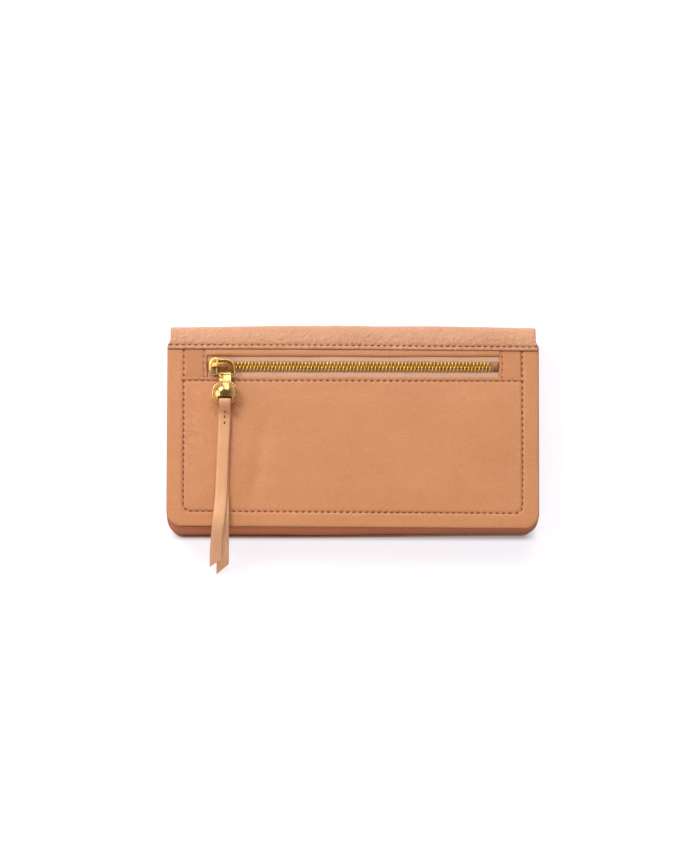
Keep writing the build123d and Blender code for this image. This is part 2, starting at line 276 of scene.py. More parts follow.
def makeLeather(name, colours, pebble, relief, rough, mottle, gloss=0.5, deep=0.0006):
    # pebbled grain: two sizes of soft cells, with broad patches of lighter and darker tone
    leather = Finish(name)
    drift = leather.cloud(260.0, 2.0)
    place = leather.place()
    bent = leather.node("ShaderNodeVectorMath", {"operation": "MULTIPLY_ADD"},
                        [leather.node("ShaderNodeTexNoise", {}, {"Vector": place, "Scale": 420.0}, "Color"),
                         (0.0009, 0.0009, 0.0009), place])
    large = leather.cells(pebble, "SMOOTH_F1", bent)
    small = leather.cells(pebble * 2.3, "F1", bent)
    pores = leather.cloud(5200.0, 2.0)
    patches = leather.cloud(38.0, 4.0, 0.55)
    streaks = leather.cloud(1.0, 3.0, 0.5, leather.stretched((24.0, 70.0, 60.0)))
    toned = leather.blend(leather.remap(patches, 0.35, 0.68, 0.0, mottle), colours["main"], colours["pale"])
    toned = leather.blend(leather.remap(streaks, 0.45, 0.75, 0.0, mottle * 0.7), toned, colours["deep"])
    crease = leather.remap(large, 0.0, 0.62, 0.0, 1.0)
    toned = leather.blend(crease * 0.22, toned, colours["deep"])
    toned = leather.blend(leather.remap(drift, 0.55, 0.8, 0.0, 0.25), toned, colours["pale"])
    # painted shade: the edge shade attribute darkens the colour towards the edge colour along edges, creases
    # and stitch grooves
    rimShade = leather.node("ShaderNodeAttribute", {"attribute_name": "rimShade"}, output="Fac")
    toned = leather.blend(rimShade * 0.85, toned, colours["edge"])
    height = (1 - large) * 0.65 + (1 - small) * 0.25 + pores * 0.18
    shine = leather.remap(patches + large * 0.5, 0.3, 1.1, rough - 0.09, rough + 0.09)
    return leather.surface({
        "Base Color": toned,
        "Roughness": shine,
        "Specular IOR Level": gloss,
        "Normal": leather.bump(height, relief, deep),
    })


def makeLace(name):
    # smooth vegetable-tanned strip: fine fibres along it, darker cut edges by its own UV map
    lace = Finish(name)
    uv = lace.node("ShaderNodeTexCoord", output="UV")
    fibre = lace.cloud(1.0, 4.0, 0.6, lace.stretched((26.0, 2.2, 1.0), uv))
    patches = lace.cloud(60.0, 3.0)
    split = lace.node("ShaderNodeSeparateXYZ", {}, [uv])
    edge = lace.remap(abs(split - 0.5), 0.41, 0.5, 0.0, 1.0)
    toned = lace.blend(lace.remap(patches, 0.35, 0.7, 0.0, 1.0), linear(225, 163, 116), linear(236, 179, 133))
    toned = lace.blend(lace.remap(fibre, 0.5, 0.8, 0.0, 0.4), toned, linear(203, 138, 90))
    toned = lace.blend(edge * 0.55, toned, linear(150, 88, 50))
    height = fibre * 0.6 + lace.cells(3600.0) * 0.3
    return lace.surface({
        "Base Color": toned,
        "Roughness": lace.remap(fibre, 0.3, 0.8, 0.44, 0.56),
        "Specular IOR Level": 0.4,
        "Normal": lace.bump(height, 0.35, 0.00022),
    })


def makeWoven(name, colour, shade, threads, relief):
    # plain weave from two crossed waves, with slubs
    cloth = Finish(name)
    place = cloth.place()
    waves = []
    for direction in ("X", "Y"):
        settings = {"wave_type": "BANDS", "bands_direction": direction, "wave_profile": "SIN"}
        values = {"Vector": place, "Scale": threads, "Distortion": 0.6, "Detail": 1.0}
        waves.append(cloth.node("ShaderNodeTexWave", settings, values, "Fac"))
    weave = waves[0] * waves[1]
    slub = cloth.cloud(700.0, 3.0)
    patches = cloth.cloud(45.0, 3.0)
    toned = cloth.blend(cloth.remap(weave, 0.1, 0.7, 0.0, 1.0), shade, colour)
    toned = cloth.blend(cloth.remap(slub, 0.5, 0.8, 0.0, 0.35), toned, shade)
    toned = cloth.blend(cloth.remap(patches, 0.4, 0.7, 0.0, 0.2), toned, colour)
    # painted shade: the edge shade attribute darkens the cloth towards a dim copy of its shade colour
    rimShade = cloth.node("ShaderNodeAttribute", {"attribute_name": "rimShade"}, output="Fac")
    toned = cloth.blend(rimShade, toned, tuple(channel * 0.3 for channel in shade))
    return cloth.surface({
        "Base Color": toned,
        "Roughness": cloth.remap(slub, 0.3, 0.7, 0.78, 0.92),
        "Specular IOR Level": 0.2,
        "Sheen Weight": 0.2,
        "Normal": cloth.bump(weave + slub * 0.4, relief, 0.0002),
    })


def makeBrass(name, colour, dark, rough, tarnish):
    # polished plating: hairline scratches one way, faint tarnish in patches
    brass = Finish(name)
    patches = brass.cloud(320.0, 4.0, 0.6)
    hairs = brass.cloud(1.0, 5.0, 0.7, brass.stretched((900.0, 5200.0, 2400.0)))
    toned = brass.blend(brass.remap(patches, 0.42, 0.72, 0.0, tarnish), colour, dark)
    return brass.surface({
        "Base Color": toned,
        "Metallic": 1.0,
        "Roughness": brass.remap(patches + hairs * 0.5, 0.5, 1.0, rough - 0.04, rough + 0.09),
        "Normal": brass.bump(hairs, 0.05, 0.00005),
    })


def makeThread(name, colour, shade):
    thread = Finish(name)
    ply = thread.node("ShaderNodeTexWave", {"bands_direction": "DIAGONAL"},
                      {"Vector": thread.place(), "Scale": 900.0, "Distortion": 1.2}, "Fac")
    fuzz = thread.cloud(4200.0, 3.0)
    toned = thread.blend(ply * 0.6 + fuzz * 0.3, colour, shade)
    return thread.surface({
        "Base Color": toned,
        "Roughness": thread.remap(fuzz, 0.3, 0.7, 0.55, 0.75),
        "Normal": thread.bump(ply + fuzz * 0.5, 0.5, 0.0002),
    })


def makeBoard(name, colour, shade):
    board = Finish(name)
    fibre = board.cloud(900.0, 5.0, 0.65)
    specks = board.cells(500.0)
    toned = board.blend(board.remap(fibre, 0.35, 0.7, 0.0, 1.0), colour, shade)
    return board.surface({
        "Base Color": toned,
        "Roughness": board.remap(fibre, 0.3, 0.7, 0.8, 0.95),
        "Normal": board.bump(fibre + specks * 0.3, 0.4, 0.0003),
    })


leatherMain = makeLeather("leatherMain", mainColours, 900.0, 0.33, 0.46, 0.3)
# painted light: the flap's lighter copy of the tan leather
leatherBandLit = makeLeather("leatherBandLit", litBandColours, 520.0, 0.72, 0.34, 0.5, 0.65, 0.0011)
# painted shade: a darker copy of the tan leather, for the bottom strip
leatherSideShaded = makeLeather("leatherSideShaded", shadedSideColours, 900.0, 0.4, 0.6, 0.5, 0.15)
leatherSlot = makeLeather("leatherSlot", slotColours, 1500.0, 0.25, 0.46, 0.4)
laceLeather = makeLace("laceLeather")
tapeCloth = makeWoven("tapeCloth", linear(246, 200, 170), linear(214, 164, 133), 520.0, 0.7)
liningCloth = makeWoven("liningCloth", linear(214, 190, 160), linear(184, 158, 128), 420.0, 0.5)
brassPolished = makeBrass("brassPolished", linear(224, 182, 112), linear(160, 114, 58), 0.15, 0.6)
# painted reflection: pale brass for the charm's lip
brassReflectionPale = makeBrass("brassReflectionPale", linear(238, 202, 146), linear(208, 162, 104), 0.26, 0.4)
brassSatin = makeBrass("brassSatin", linear(226, 176, 104), linear(170, 118, 60), 0.3, 0.6)
brassDark = makeBrass("brassDark", linear(176, 128, 92), linear(126, 84, 58), 0.4, 0.6)
brassTeeth = makeBrass("brassTeeth", linear(218, 168, 70), linear(168, 116, 42), 0.3, 0.6)
threadRust = makeThread("threadRust", linear(158, 76, 42), linear(112, 48, 24))
boardGrey = makeBoard("boardGrey", linear(150, 122, 94), linear(122, 96, 72))
print("materials made")


# mesh building

def makeObject(name, mesh):
    made = bpy.data.objects.new(name, mesh)
    bpy.context.scene.collection.objects.link(made)
    return made


def shadeSmooth(mesh):
    mesh.polygons.foreach_set("use_smooth", [True] * len(mesh.polygons))


def spread(low, high, step, marks=(), near=(0.15, 0.35, 0.6, 1.0)):
    # places from low to high, closer together beside each mark
    count = max(2, round((high - low) / step))
    places = {round(low + (high - low) * number / count, 6) for number in range(count + 1)}
    for mark in marks:
        for offset in (0.0, *near):
            for side in (-1, 1):
                place = mark + side * offset * mm
                if low <= place <= high:
                    places.add(round(place, 6))
    tidy = []
    for place in sorted(places):
        if not tidy or place - tidy[-1] > 0.06 * mm:
            tidy.append(place)
    tidy[0], tidy[-1] = low, high
    return tidy


# how quickly the painted shade along edges fades inward
rimShadeWidth = 0.26 * mm


def shell(name, across, along, outer, inner, material, edge=None, hole=None):
    # a closed sheet: an outer and an inner skin over one grid, joined round every open edge
    # edge gives the distance in from the piece's own edge, and some pieces shorten it to add shade elsewhere;
    # it becomes painted shade that darkens the colour, and the inner skin gets a darker value throughout for
    # its flesh side
    points, faces = [], []
    columns, rows = len(across), len(along)
    for skin in (outer, inner):
        for v in along:
            for u in across:
                points.append(skin(u, v))
    total = columns * rows
    kept = set()
    for row in range(rows - 1):
        for column in range(columns - 1):
            middleU = (across[column] + across[column + 1]) / 2
            middleV = (along[row] + along[row + 1]) / 2
            if hole is None or not hole(middleU, middleV):
                kept.add((row, column))
    for row, column in sorted(kept):
        first = row * columns + column
        quad = (first, first + 1, first + columns + 1, first + columns)
        faces.append(quad)
        faces.append(tuple(index + total for index in reversed(quad)))
        sides = (
            ((row - 1, column), quad[0], quad[1]),
            ((row, column + 1), quad[1], quad[2]),
            ((row + 1, column), quad[2], quad[3]),
            ((row, column - 1), quad[3], quad[0]),
        )
        for neighbour, start, end in sides:
            if neighbour not in kept:
                faces.append((end, start, start + total, end + total))
    mesh = bpy.data.meshes.new(name)
    mesh.from_pydata(points, [], faces)
    mesh.materials.append(material)
    if edge is not None:
        # painted shade: darkest where the edge distance is zero, fading over a fraction of a millimetre
        rimShade = [math.exp(-max(edge(u, v), 0.0) / rimShadeWidth) for v in along for u in across]
        mesh.attributes.new("rimShade", "FLOAT", "POINT").data.foreach_set("value", rimShade + [0.9] * total)
    made = bmesh.new()
    made.from_mesh(mesh)
    loose = [vert for vert in made.verts if not vert.link_faces]  # inside the hole
    bmesh.ops.delete(made, geom=loose, context="VERTS")
    bmesh.ops.recalc_face_normals(made, faces=made.faces)
    made.to_mesh(mesh)
    made.free()
    shadeSmooth(mesh)
    mesh.validate()
    return makeObject(name, mesh)


def rolled(distance, radius):
    # how far a turned edge has dropped at a distance in from the edge
    if distance >= radius:
        return 0.0
    inside = radius - max(distance, 0.0)
    return radius - math.sqrt(max(radius * radius - inside * inside, 0.0))


def soft(value, low, high):
    share = min(max((value - low) / (high - low), 0.0), 1.0)
    return share * share * (3 - 2 * share)


def ripple(x, y, size, seed):
    return noise.noise(Vector((x / size, y / size, seed)))


def cornered(x, y, halfWidth, low, high, lowCorner, highCorner=0.0):
    # distance in from a rectangle whose lower and upper corners are rounded
    edge = min(halfWidth - abs(x), y - low, high - y)
    for corner, gap in ((lowCorner, low + lowCorner - y), (highCorner, y - high + highCorner)):
        side = abs(x) - (halfWidth - corner)
        if corner > 0 and side > 0 and gap > 0:
            edge = min(edge, corner - math.hypot(side, gap))
    return edge


def narrowing(y, low, high, lowCorner, highCorner=0.0):
    # how much a rounded corner takes off each side at this height
    for corner, gap in ((lowCorner, low + lowCorner - y), (highCorner, y - high + highCorner)):
        if corner > 0 and gap > 0:
            return corner - math.sqrt(max(corner * corner - min(gap, corner) ** 2, 0.0))
    return 0.0


def stand(piece, body, slot, *nodes):
    if body is not None:
        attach(piece, body)
    if nodes:
        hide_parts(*nodes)
    return piece


# stitches and teeth, by geometry nodes

def newTree(name, inputs):
    tree = bpy.data.node_groups.new(name, "GeometryNodeTree")
    keys = {}
    for label, kind in inputs:
        keys[label] = tree.interface.new_socket(label, in_out="INPUT", socket_type=kind).identifier
    tree.interface.new_socket("Geometry", in_out="OUTPUT", socket_type="NodeSocketGeometry")
    return tree, keys


def addNode(tree, kind, settings=None, links=()):
    made = tree.nodes.new(kind)
    for key, value in (settings or {}).items():
        setattr(made, key, value)
    for key, source in links:
        if isinstance(source, bpy.types.NodeSocket):
            tree.links.new(source, made.inputs[key])
        else:
            made.inputs[key].default_value = source
    return made


def placeCopies(tree, points, shape, turn, material):
    # one copy of the shape at each point, made real and given its material
    source = addNode(tree, "GeometryNodeObjectInfo", {}, [("Object", shape)])
    placed = addNode(tree, "GeometryNodeInstanceOnPoints", {},
                     [("Points", points), ("Instance", source.outputs["Geometry"]), ("Rotation", turn)])
    real = addNode(tree, "GeometryNodeRealizeInstances", {}, [("Geometry", placed.outputs[0])])
    coloured = addNode(tree, "GeometryNodeSetMaterial", {},
                       [("Geometry", real.outputs[0]), ("Material", material)])
    out = tree.nodes.new("NodeGroupOutput")
    tree.links.new(coloured.outputs[0], out.inputs[0])


def makeStitchTree():
    tree, keys = newTree("stitchRun", [
        ("Geometry", "NodeSocketGeometry"), ("Pitch", "NodeSocketFloat"), ("Thread", "NodeSocketObject"),
        ("Lean", "NodeSocketFloat"), ("Jitter", "NodeSocketFloat"), ("Seed", "NodeSocketInt"),
        ("Material", "NodeSocketMaterial"),
    ])
    given = tree.nodes.new("NodeGroupInput").outputs
    spots = addNode(tree, "GeometryNodeCurveToPoints", {"mode": "LENGTH"},
                    [("Curve", given["Geometry"]), ("Length", given["Pitch"])])
    aligned = addNode(tree, "FunctionNodeAlignRotationToVector", {"axis": "X", "pivot_axis": "Z"},
                      [("Vector", spots.outputs["Tangent"])])
    minus = addNode(tree, "ShaderNodeMath", {"operation": "MULTIPLY"}, [(0, given["Jitter"]), (1, -1.0)])
    chance = addNode(tree, "FunctionNodeRandomValue", {"data_type": "FLOAT"},
                     [(2, minus.outputs[0]), (3, given["Jitter"]), ("Seed", given["Seed"])])
    lean = addNode(tree, "ShaderNodeMath", {"operation": "ADD"},
                   [(0, chance.outputs[1]), (1, given["Lean"])])
    axis = addNode(tree, "ShaderNodeCombineXYZ", {}, [("Z", lean.outputs[0])])
    turned = addNode(tree, "FunctionNodeRotateRotation", {"rotation_space": "LOCAL"},
                     [("Rotation", aligned.outputs[0]), ("Rotate By", axis.outputs[0])])
    placeCopies(tree, spots.outputs["Points"], given["Thread"], turned.outputs[0], given["Material"])
    return tree, keys


def makeToothTree():
    tree, keys = newTree("toothRow", [
        ("Geometry", "NodeSocketGeometry"), ("Count", "NodeSocketInt"), ("Pitch", "NodeSocketFloat"),
        ("Start", "NodeSocketVector"), ("Tooth", "NodeSocketObject"), ("Turn", "NodeSocketFloat"),
        ("Material", "NodeSocketMaterial"),
    ])
    given = tree.nodes.new("NodeGroupInput").outputs
    step = addNode(tree, "ShaderNodeCombineXYZ", {}, [("X", given["Pitch"])])
    line = addNode(tree, "GeometryNodeMeshLine", {"mode": "OFFSET"},
                   [("Count", given["Count"]), ("Start Location", given["Start"]),
                    ("Offset", step.outputs[0])])
    turn = addNode(tree, "ShaderNodeCombineXYZ", {}, [("Z", given["Turn"])])
    placeCopies(tree, line.outputs[0], given["Tooth"], turn.outputs[0], given["Material"])
    return tree, keys


def drawn(name, routes, kind):
    # a curve object through lists of points
    data = bpy.data.curves.new(name, "CURVE")
    data.dimensions = "3D"
    for route in routes:
        spline = data.splines.new(kind)
        spline.points.add(len(route) - 1)
        for point, place in zip(spline.points, route):
            point.co = (*place, 1)
    return makeObject(name, data)


def evaluated(source):
    # the evaluated result as a plain mesh, with the source object removed
    bpy.context.view_layer.update()
    view = bpy.context.evaluated_depsgraph_get()
    mesh = bpy.data.meshes.new_from_object(source.evaluated_get(view))
    bpy.data.objects.remove(source)
    return mesh


def settled(source, name, tree, keys, settings):
    # what a node tree makes of the source, as its own piece
    modifier = source.modifiers.new("nodes", "NODES")
    modifier.node_group = tree
    for label, value in settings.items():
        modifier[keys[label]] = value
    mesh = evaluated(source)
    mesh.name = name
    shadeSmooth(mesh)
    return makeObject(name, mesh)


def ringFaces(rings, spokes):
    # quads between rings of points, each ring joined round
    faces = []
    for ring in range(rings):
        for spoke in range(spokes):
            after = (spoke + 1) % spokes
            faces.append((ring * spokes + spoke, ring * spokes + after,
                          (ring + 1) * spokes + after, (ring + 1) * spokes + spoke))
    return faces


def capFaces(rings, spokes):
    # the first and the last ring closed
    return [tuple(reversed(range(spokes))), tuple(rings * spokes + spoke for spoke in range(spokes))]


def outward(mesh, merge=0.0):
    made = bmesh.new()
    made.from_mesh(mesh)
    if merge:
        bmesh.ops.remove_doubles(made, verts=made.verts, dist=merge)
    bmesh.ops.recalc_face_normals(made, faces=made.faces)
    made.to_mesh(mesh)
    made.free()


def roundBar(name, length, width, height, rings=6, spokes=8):
    # a fat thread: rounded at both ends and a little flattened
    points = []
    for ring in range(rings + 1):
        share = ring / rings * 2 - 1
        swell = math.sqrt(max(1 - abs(share) ** 3.0, 0.0))
        for spoke in range(spokes):
            angle = 2 * math.pi * spoke / spokes
            points.append((share * length / 2, math.cos(angle) * swell * width / 2,
                           math.sin(angle) * swell * height / 2))
    mesh = bpy.data.meshes.new(name)
    mesh.from_pydata(points, [], ringFaces(rings, spokes))
    outward(mesh, 0.01 * mm)
    return makeObject(name, mesh)


stitchTree, stitchKeys = makeStitchTree()
toothTree, toothKeys = makeToothTree()
threadValues = {"pitch": 3.4 * mm, "length": 1.95 * mm, "width": 0.64 * mm, "height": 0.52 * mm,
                "lean": 0.10, "jitter": 0.06}
threadBar = roundBar("threadBar", threadValues["length"], threadValues["width"], threadValues["height"])
fineBar = roundBar("fineBar", 1.5 * mm, 0.42 * mm, 0.34 * mm)
knotBar = roundBar("knotBar", 1.6 * mm, 0.85 * mm, 0.6 * mm)


def stitchLine(name, routes, pitch, bar, seed, lean=threadValues["lean"]):
    # routes are lists of points on the leather, one thread each
    settings = {"Pitch": pitch, "Thread": bar, "Lean": lean, "Jitter": threadValues["jitter"],
                "Seed": seed, "Material": threadRust}
    return settled(drawn(name + "Route", routes, "POLY"), name, stitchTree, stitchKeys, settings)


def line(start, end, surface, lift=0.0, step=1.0 * mm):
    # points from start to end in plan, each on the surface
    count = max(2, round((Vector(end) - Vector(start)).length / step))
    route = []
    for number in range(count + 1):
        place = Vector(start).lerp(Vector(end), number / count)
        route.append((place.x, place.y, surface(place.x, place.y) + lift))
    return route


def roundedRoute(across, low, high, corner, steps, surface):
    # down one side, round both lower corners and up the other side
    route = line((-across, high), (-across, low + corner), surface)
    for centre, begin in ((-across + corner, math.pi), (across - corner, math.pi * 1.5)):
        for number in range(1, steps):
            angle = begin + number / steps * math.pi / 2
            x, y = centre + corner * math.cos(angle), low + corner + corner * math.sin(angle)
            route.append((x, y, surface(x, y)))
        if centre < 0:
            route += line((-across + corner, low), (across - corner, low), surface)
    return route + line((across, low + corner), (across, high), surface)


def dent(distance, travel, pitch, depth, width):
    # a stitch line pulls the leather down, most of all at its needle holes
    if distance > 3 * width:
        return 0.0
    pull = 0.62 - 0.38 * math.cos(2 * math.pi * travel / pitch)
    return depth * pull * math.exp(-(distance / width) ** 2)


# lace

laceValues = {
    "width": 6.5 * mm,
    "thick": 1.2 * mm,
    "loopWidth": 6.35 * mm,
    "loopThick": 1.14 * mm,
    "startY": 5.55 * mm,
}

# distance run towards the bottom edge, height, and shift to +X, in millimetres
rearRoute = [
    (-0.8, 24.75, 0.3), (14.5, 25.0, 0.0), (29.5, 24.8, 0.0), (44, 25.0, 0.1), (60.5, 27.6, 0.0),
    (69.5, 15.0, -0.1), (73.8, 3.6, -0.3), (81.3, 0.9, -0.4),
]
frontRoute = [
    (-0.8, 26.05, 0.1), (14.5, 26.4, 0.5), (29.5, 26.15, 1.0), (44, 26.4, 1.6), (61.2, 29.2, 1.2),
    (71.5, 15.5, 0.6), (77.2, 1.9, 0.9),
]
loopRoute = [(5.3, 26.05), (8.0, 26.5), (9.3, 32.6), (12.7, 33.4), (12.6, 24.6), (9.5, 24.75), (5.3, 24.75)]


def smoothRoute(name, points):
    source = drawn(name, [points], "NURBS")
    spline = source.data.splines[0]
    spline.order_u = 3
    spline.use_endpoint_u = True
    spline.resolution_u = 24
    return [vert.co.copy() for vert in evaluated(source).vertices]


def placedAt(path, travels, travel):
    # the point at a distance along the path
    index = 1
    while index < len(travels) - 1 and travels[index] < travel:
        index += 1
    share = (travel - travels[index - 1]) / max(travels[index] - travels[index - 1], 1e-9)
    return path[index - 1].lerp(path[index], min(max(share, 0.0), 1.0))


def ribbon(name, path, width, thick, cut, seed):
    # a flat strip along a path, with eased edges and its far end cut across
    travels = [0.0]
    for before, after in zip(path, path[1:]):
        travels.append(travels[-1] + (after - before).length)
    total = travels[-1]
    section = [(-1, 0), (-0.97, 0.7), (-0.9, 1), (-0.55, 1.03), (0, 1.05), (0.55, 1.03), (0.9, 1),
               (0.97, 0.7), (1, 0), (0.97, -0.7), (0.9, -1), (0.45, -1), (0, -1), (-0.45, -1),
               (-0.9, -1), (-0.97, -0.7)]
    steps, near = 150, 0.6 * mm
    points, uvs = [], []
    reach = 18 * mm
    for step in range(steps + 1):
        base = total * step / steps
        for side, up in section:
            travel = base
            if cut and base > total - reach:
                share = (base - (total - reach)) / reach
                travel = base - share * cut * (side + 1) / 2
            here = placedAt(path, travels, travel)
            ahead = placedAt(path, travels, min(travel + near, total))
            behind = placedAt(path, travels, max(travel - near, 0.0))
            along = (ahead - behind).normalized()
            across = Vector((1, 0, 0))
            across = (across - along * across.dot(along)).normalized()
            normal = across.cross(along).normalized()
            wide = width / 2 * (1 + 0.035 * ripple(travel, side * 0.001, 16 * mm, seed))
            lift = thick / 2 * (1 + 0.05 * ripple(travel, side * 0.004, 7 * mm, seed + 3))
            points.append(here + across * side * wide + normal * up * lift)
            uvs.append(((side + 1) / 2, travel / width / 4))
    mesh = bpy.data.meshes.new(name)
    count = len(section)
    mesh.from_pydata(points, [], ringFaces(steps, count) + capFaces(steps, count))
    layer = mesh.uv_layers.new(name="UVMap")
    for loop in mesh.loops:
        layer.data[loop.index].uv = uvs[loop.vertex_index]
    mesh.materials.append(laceLeather)
    outward(mesh)
    shadeSmooth(mesh)
    return makeObject(name, mesh), total


def makeTail(name, node, startX, turn, route, cut, seed):
    heading = math.radians(turn)
    points = []
    for run, height, shift in route:
        x = startX * mm + run * mm * math.sin(heading) + shift * mm
        y = laceValues["startY"] - run * mm * math.cos(heading)
        points.append((x, y, height * mm))
    path = smoothRoute(name + "Path", points)
    tail, total = ribbon(name, path, laceValues["width"], laceValues["thick"], cut * mm, seed)
    stand(tail, "lace", "lace_leather", node)
    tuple(points[0])
    [tuple(place) for place in path]
    print(name, "length", round(total, 4))


makeTail("laceRearTail", "strap_rear_tail", -68.45, 0.0, rearRoute, 6.0, 61.0)
makeTail("laceFrontTail", "strap_front_tail", -67.9, -4.0, frontRoute, 8.0, 67.0)
charmX = -67.6 * mm
loopPath = smoothRoute("laceLoopRoute", [(charmX, y * mm, z * mm) for y, z in loopRoute])
laceLoop = ribbon("laceLoop", loopPath, laceValues["loopWidth"], laceValues["loopThick"], 0.0, 71.0)[0]
stand(laceLoop, "ball", "lace_leather", "strap_loop")


# three short stitches through both layers, each from one place to the next in plan and height
knotRoutes = {
    "low": (((-0.2, 4.0, 26.78), (-0.2, 2.4, 26.78)), ((-0.2, 0.8, 26.82), (-0.2, -0.8, 26.82))),
    "top": (((-0.1, 6.9, 27.3), (-0.1, 5.5, 27.1)),),
}


def knots(name, routes, seed):
    # the pitch is longer than a route, so each one holds a single stitch
    placed = [[(charmX + x * mm, y * mm, z * mm) for x, y, z in route] for route in routes]
    return stitchLine(name, placed, 5.0 * mm, knotBar, seed, 0.0)


stand(knots("laceStitchesLow", knotRoutes["low"], 21), "lace", "thread", "strap_stitches")
stand(knots("laceStitchTop", knotRoutes["top"], 22), "ball", "thread")
print("lace made")


# back panel

panelValues = {
    "corner": 8.0 * mm,
    "roll": 0.85 * mm,
    "puff": 0.55 * mm,
    "marginFall": 0.25 * mm,
    "stitchX": 89.5 * mm,
    "stitchTop": 24.4 * mm,
    "stitchLow": -46.65 * mm,
    "stitchEnd": 40.6 * mm,
    "stitchCorner": 4.0 * mm,
    "topLeft": -89.9 * mm,
    "topRight": 89.4 * mm,
    "groove": 0.58 * mm,
    "grooveWidth": 0.75 * mm,
    "underHem": 43.0 * mm,
    "edgeTilt": 0.55 * mm,
    "waves": ((42 * mm, 0.34 * mm, 1.0), (9 * mm, 0.07 * mm, 4.0)),  # size, height and seed
    "underHemDrop": 0.5 * mm,
    "threadLift": 0.1 * mm,
    "grooveShade": 0.34,
}


def panelDents(x, y, values):
    across, low, topLine = values["stitchX"], values["stitchLow"], values["stitchTop"]
    corner = values["stitchCorner"]
    pitch, depth, width = threadValues["pitch"], values["groove"], values["grooveWidth"]
    total = 0.0
    if values["topLeft"] - width < x < values["topRight"] + width:
        total = max(total, dent(abs(y - topLine), x - values["topLeft"], pitch, depth, width))
    side, down = abs(x) - (across - corner), (low + corner) - y
    if side > 0 and down > 0:
        arc = math.atan2(side, down) * corner
        total = max(total, dent(abs(math.hypot(side, down) - corner), arc, pitch, depth, width))
    elif down > 0:
        total = max(total, dent(abs(y - low), x + across - corner, pitch, depth, width))
    else:
        total = max(total, dent(abs(abs(x) - across), y - low - corner, pitch, depth, width))
    return total


creaseValues = {
    "wrinkle": 0.13 * mm, "wrinklePitch": 1.0 * mm, "foldX": -50 * mm, "foldDeep": 0.6 * mm,
    "foldWidth": 4.5 * mm,
}


def creases(x, y, values=creaseValues):
    # small diagonal wrinkles where the pull hangs, and one soft fold beside the lace
    near = soft(x, -97 * mm, -88 * mm) * (1 - soft(x, -66 * mm, -54 * mm))
    near *= soft(y, -34 * mm, -4 * mm) * (1 - soft(y, 14 * mm, 24 * mm))
    slant = (x + y * 0.9) + ripple(x, y, 7 * mm, 16.0) * 4 * mm
    wrinkle = math.sin(slant / values["wrinklePitch"]) * values["wrinkle"] * near
    along = soft(y, -48 * mm, -34 * mm) * (1 - soft(y, -8 * mm, 12 * mm))
    middle = values["foldX"] + (y + 20 * mm) * 0.12 + ripple(0.0, y, 14 * mm, 18.0) * 2 * mm
    return wrinkle - values["foldDeep"] * along * math.exp(-((x - middle) / values["foldWidth"]) ** 2)


def panelTop(x, y):
    values = panelValues
    inside = min(values["stitchX"] - abs(x), y - values["stitchLow"], values["stitchTop"] - y)
    z = top + values["puff"] * soft(inside, 0.0, 14 * mm)
    z -= values["marginFall"] * soft(-inside, 1.0 * mm, 9 * mm)
    for size, height, seed in values["waves"]:
        z += ripple(x, y, size, seed) * height
    z += creases(x, y)
    z -= panelDents(x, y, values)
    return z - values["underHemDrop"] * soft(y, hemLow[1] - 0.5 * mm, hemLow[1] + 0.8 * mm)


def panelTilt(x, y):
    # the lower edge runs a little downhill to the right
    return -panelValues["edgeTilt"] * (x / panelHigh[0]) * (1 - soft(y, panelLow[1], panelLow[1] + 40 * mm))


def windowGap(x, y):
    # distance from the edge of the zip window, outside it
    side, down = abs(x) - windowHalf, windowLow - y
    if side > 0 and down > 0:
        return math.hypot(side, down)
    return max(side, down)


def makePanel(values):
    half, low, high = panelHigh[0], panelLow[1], values["underHem"]
    marksX = [side * place for side in (-1, 1) for place in (half, windowHalf, values["stitchX"])]
    across = spread(-half, half, 0.72 * mm, marksX, (0.15, 0.35, 0.6, 0.95))
    along = spread(low, high, 1.1 * mm, (low, windowLow, values["stitchTop"], values["stitchLow"]),
                   (0.15, 0.35, 0.6, 0.95))

    def spot(u, v):
        x = u * (half - narrowing(v, low, high, values["corner"])) / half
        return x, v + panelTilt(x, v)

    def outer(u, v):
        x, y = spot(u, v)
        edge = min(cornered(x, v, half, low, 1.0, values["corner"]), windowGap(x, v))
        return x, y, panelTop(x, v) - rolled(edge, values["roll"])

    def inner(u, v):
        x, y = spot(u, v)
        return x, y, panelLow[2]

    def hole(u, v):
        return abs(u) < windowHalf and v > windowLow

    # painted shade along the panel's outer and window edges and in its stitch grooves
    def edge(u, v):
        x = spot(u, v)[0]
        groove = values["grooveShade"] * min(panelDents(x, v, values) / values["groove"], 1.0)
        near = min(cornered(x, v, half, low, 1.0, values["corner"]), windowGap(x, v))
        return min(near, -rimShadeWidth * math.log(groove + 0.002))

    panel = shell("backPanelLeather", across, along, outer, inner, leatherMain, edge, hole)
    stand(panel, "back", "tan_leather", "back_panel")


def panelStitches(values):
    across, low, corner = values["stitchX"], values["stitchLow"], values["stitchCorner"]

    def height(x, y):
        return panelTop(x, y) + values["threadLift"]

    frameRoute = roundedRoute(across, low, values["stitchEnd"], corner, 9, height)
    frameRoute = [(x, y + panelTilt(x, y), z) for x, y, z in frameRoute]
    topRoute = line((values["topLeft"], values["stitchTop"]), (values["topRight"], values["stitchTop"]),
                    height)
    stitches = stitchLine("panelStitches", [frameRoute, topRoute], threadValues["pitch"], threadBar, 3)
    stand(stitches, "back", "thread")


makePanel(panelValues)
panelStitches(panelValues)
print("back panel made")


# flap leather round the fold

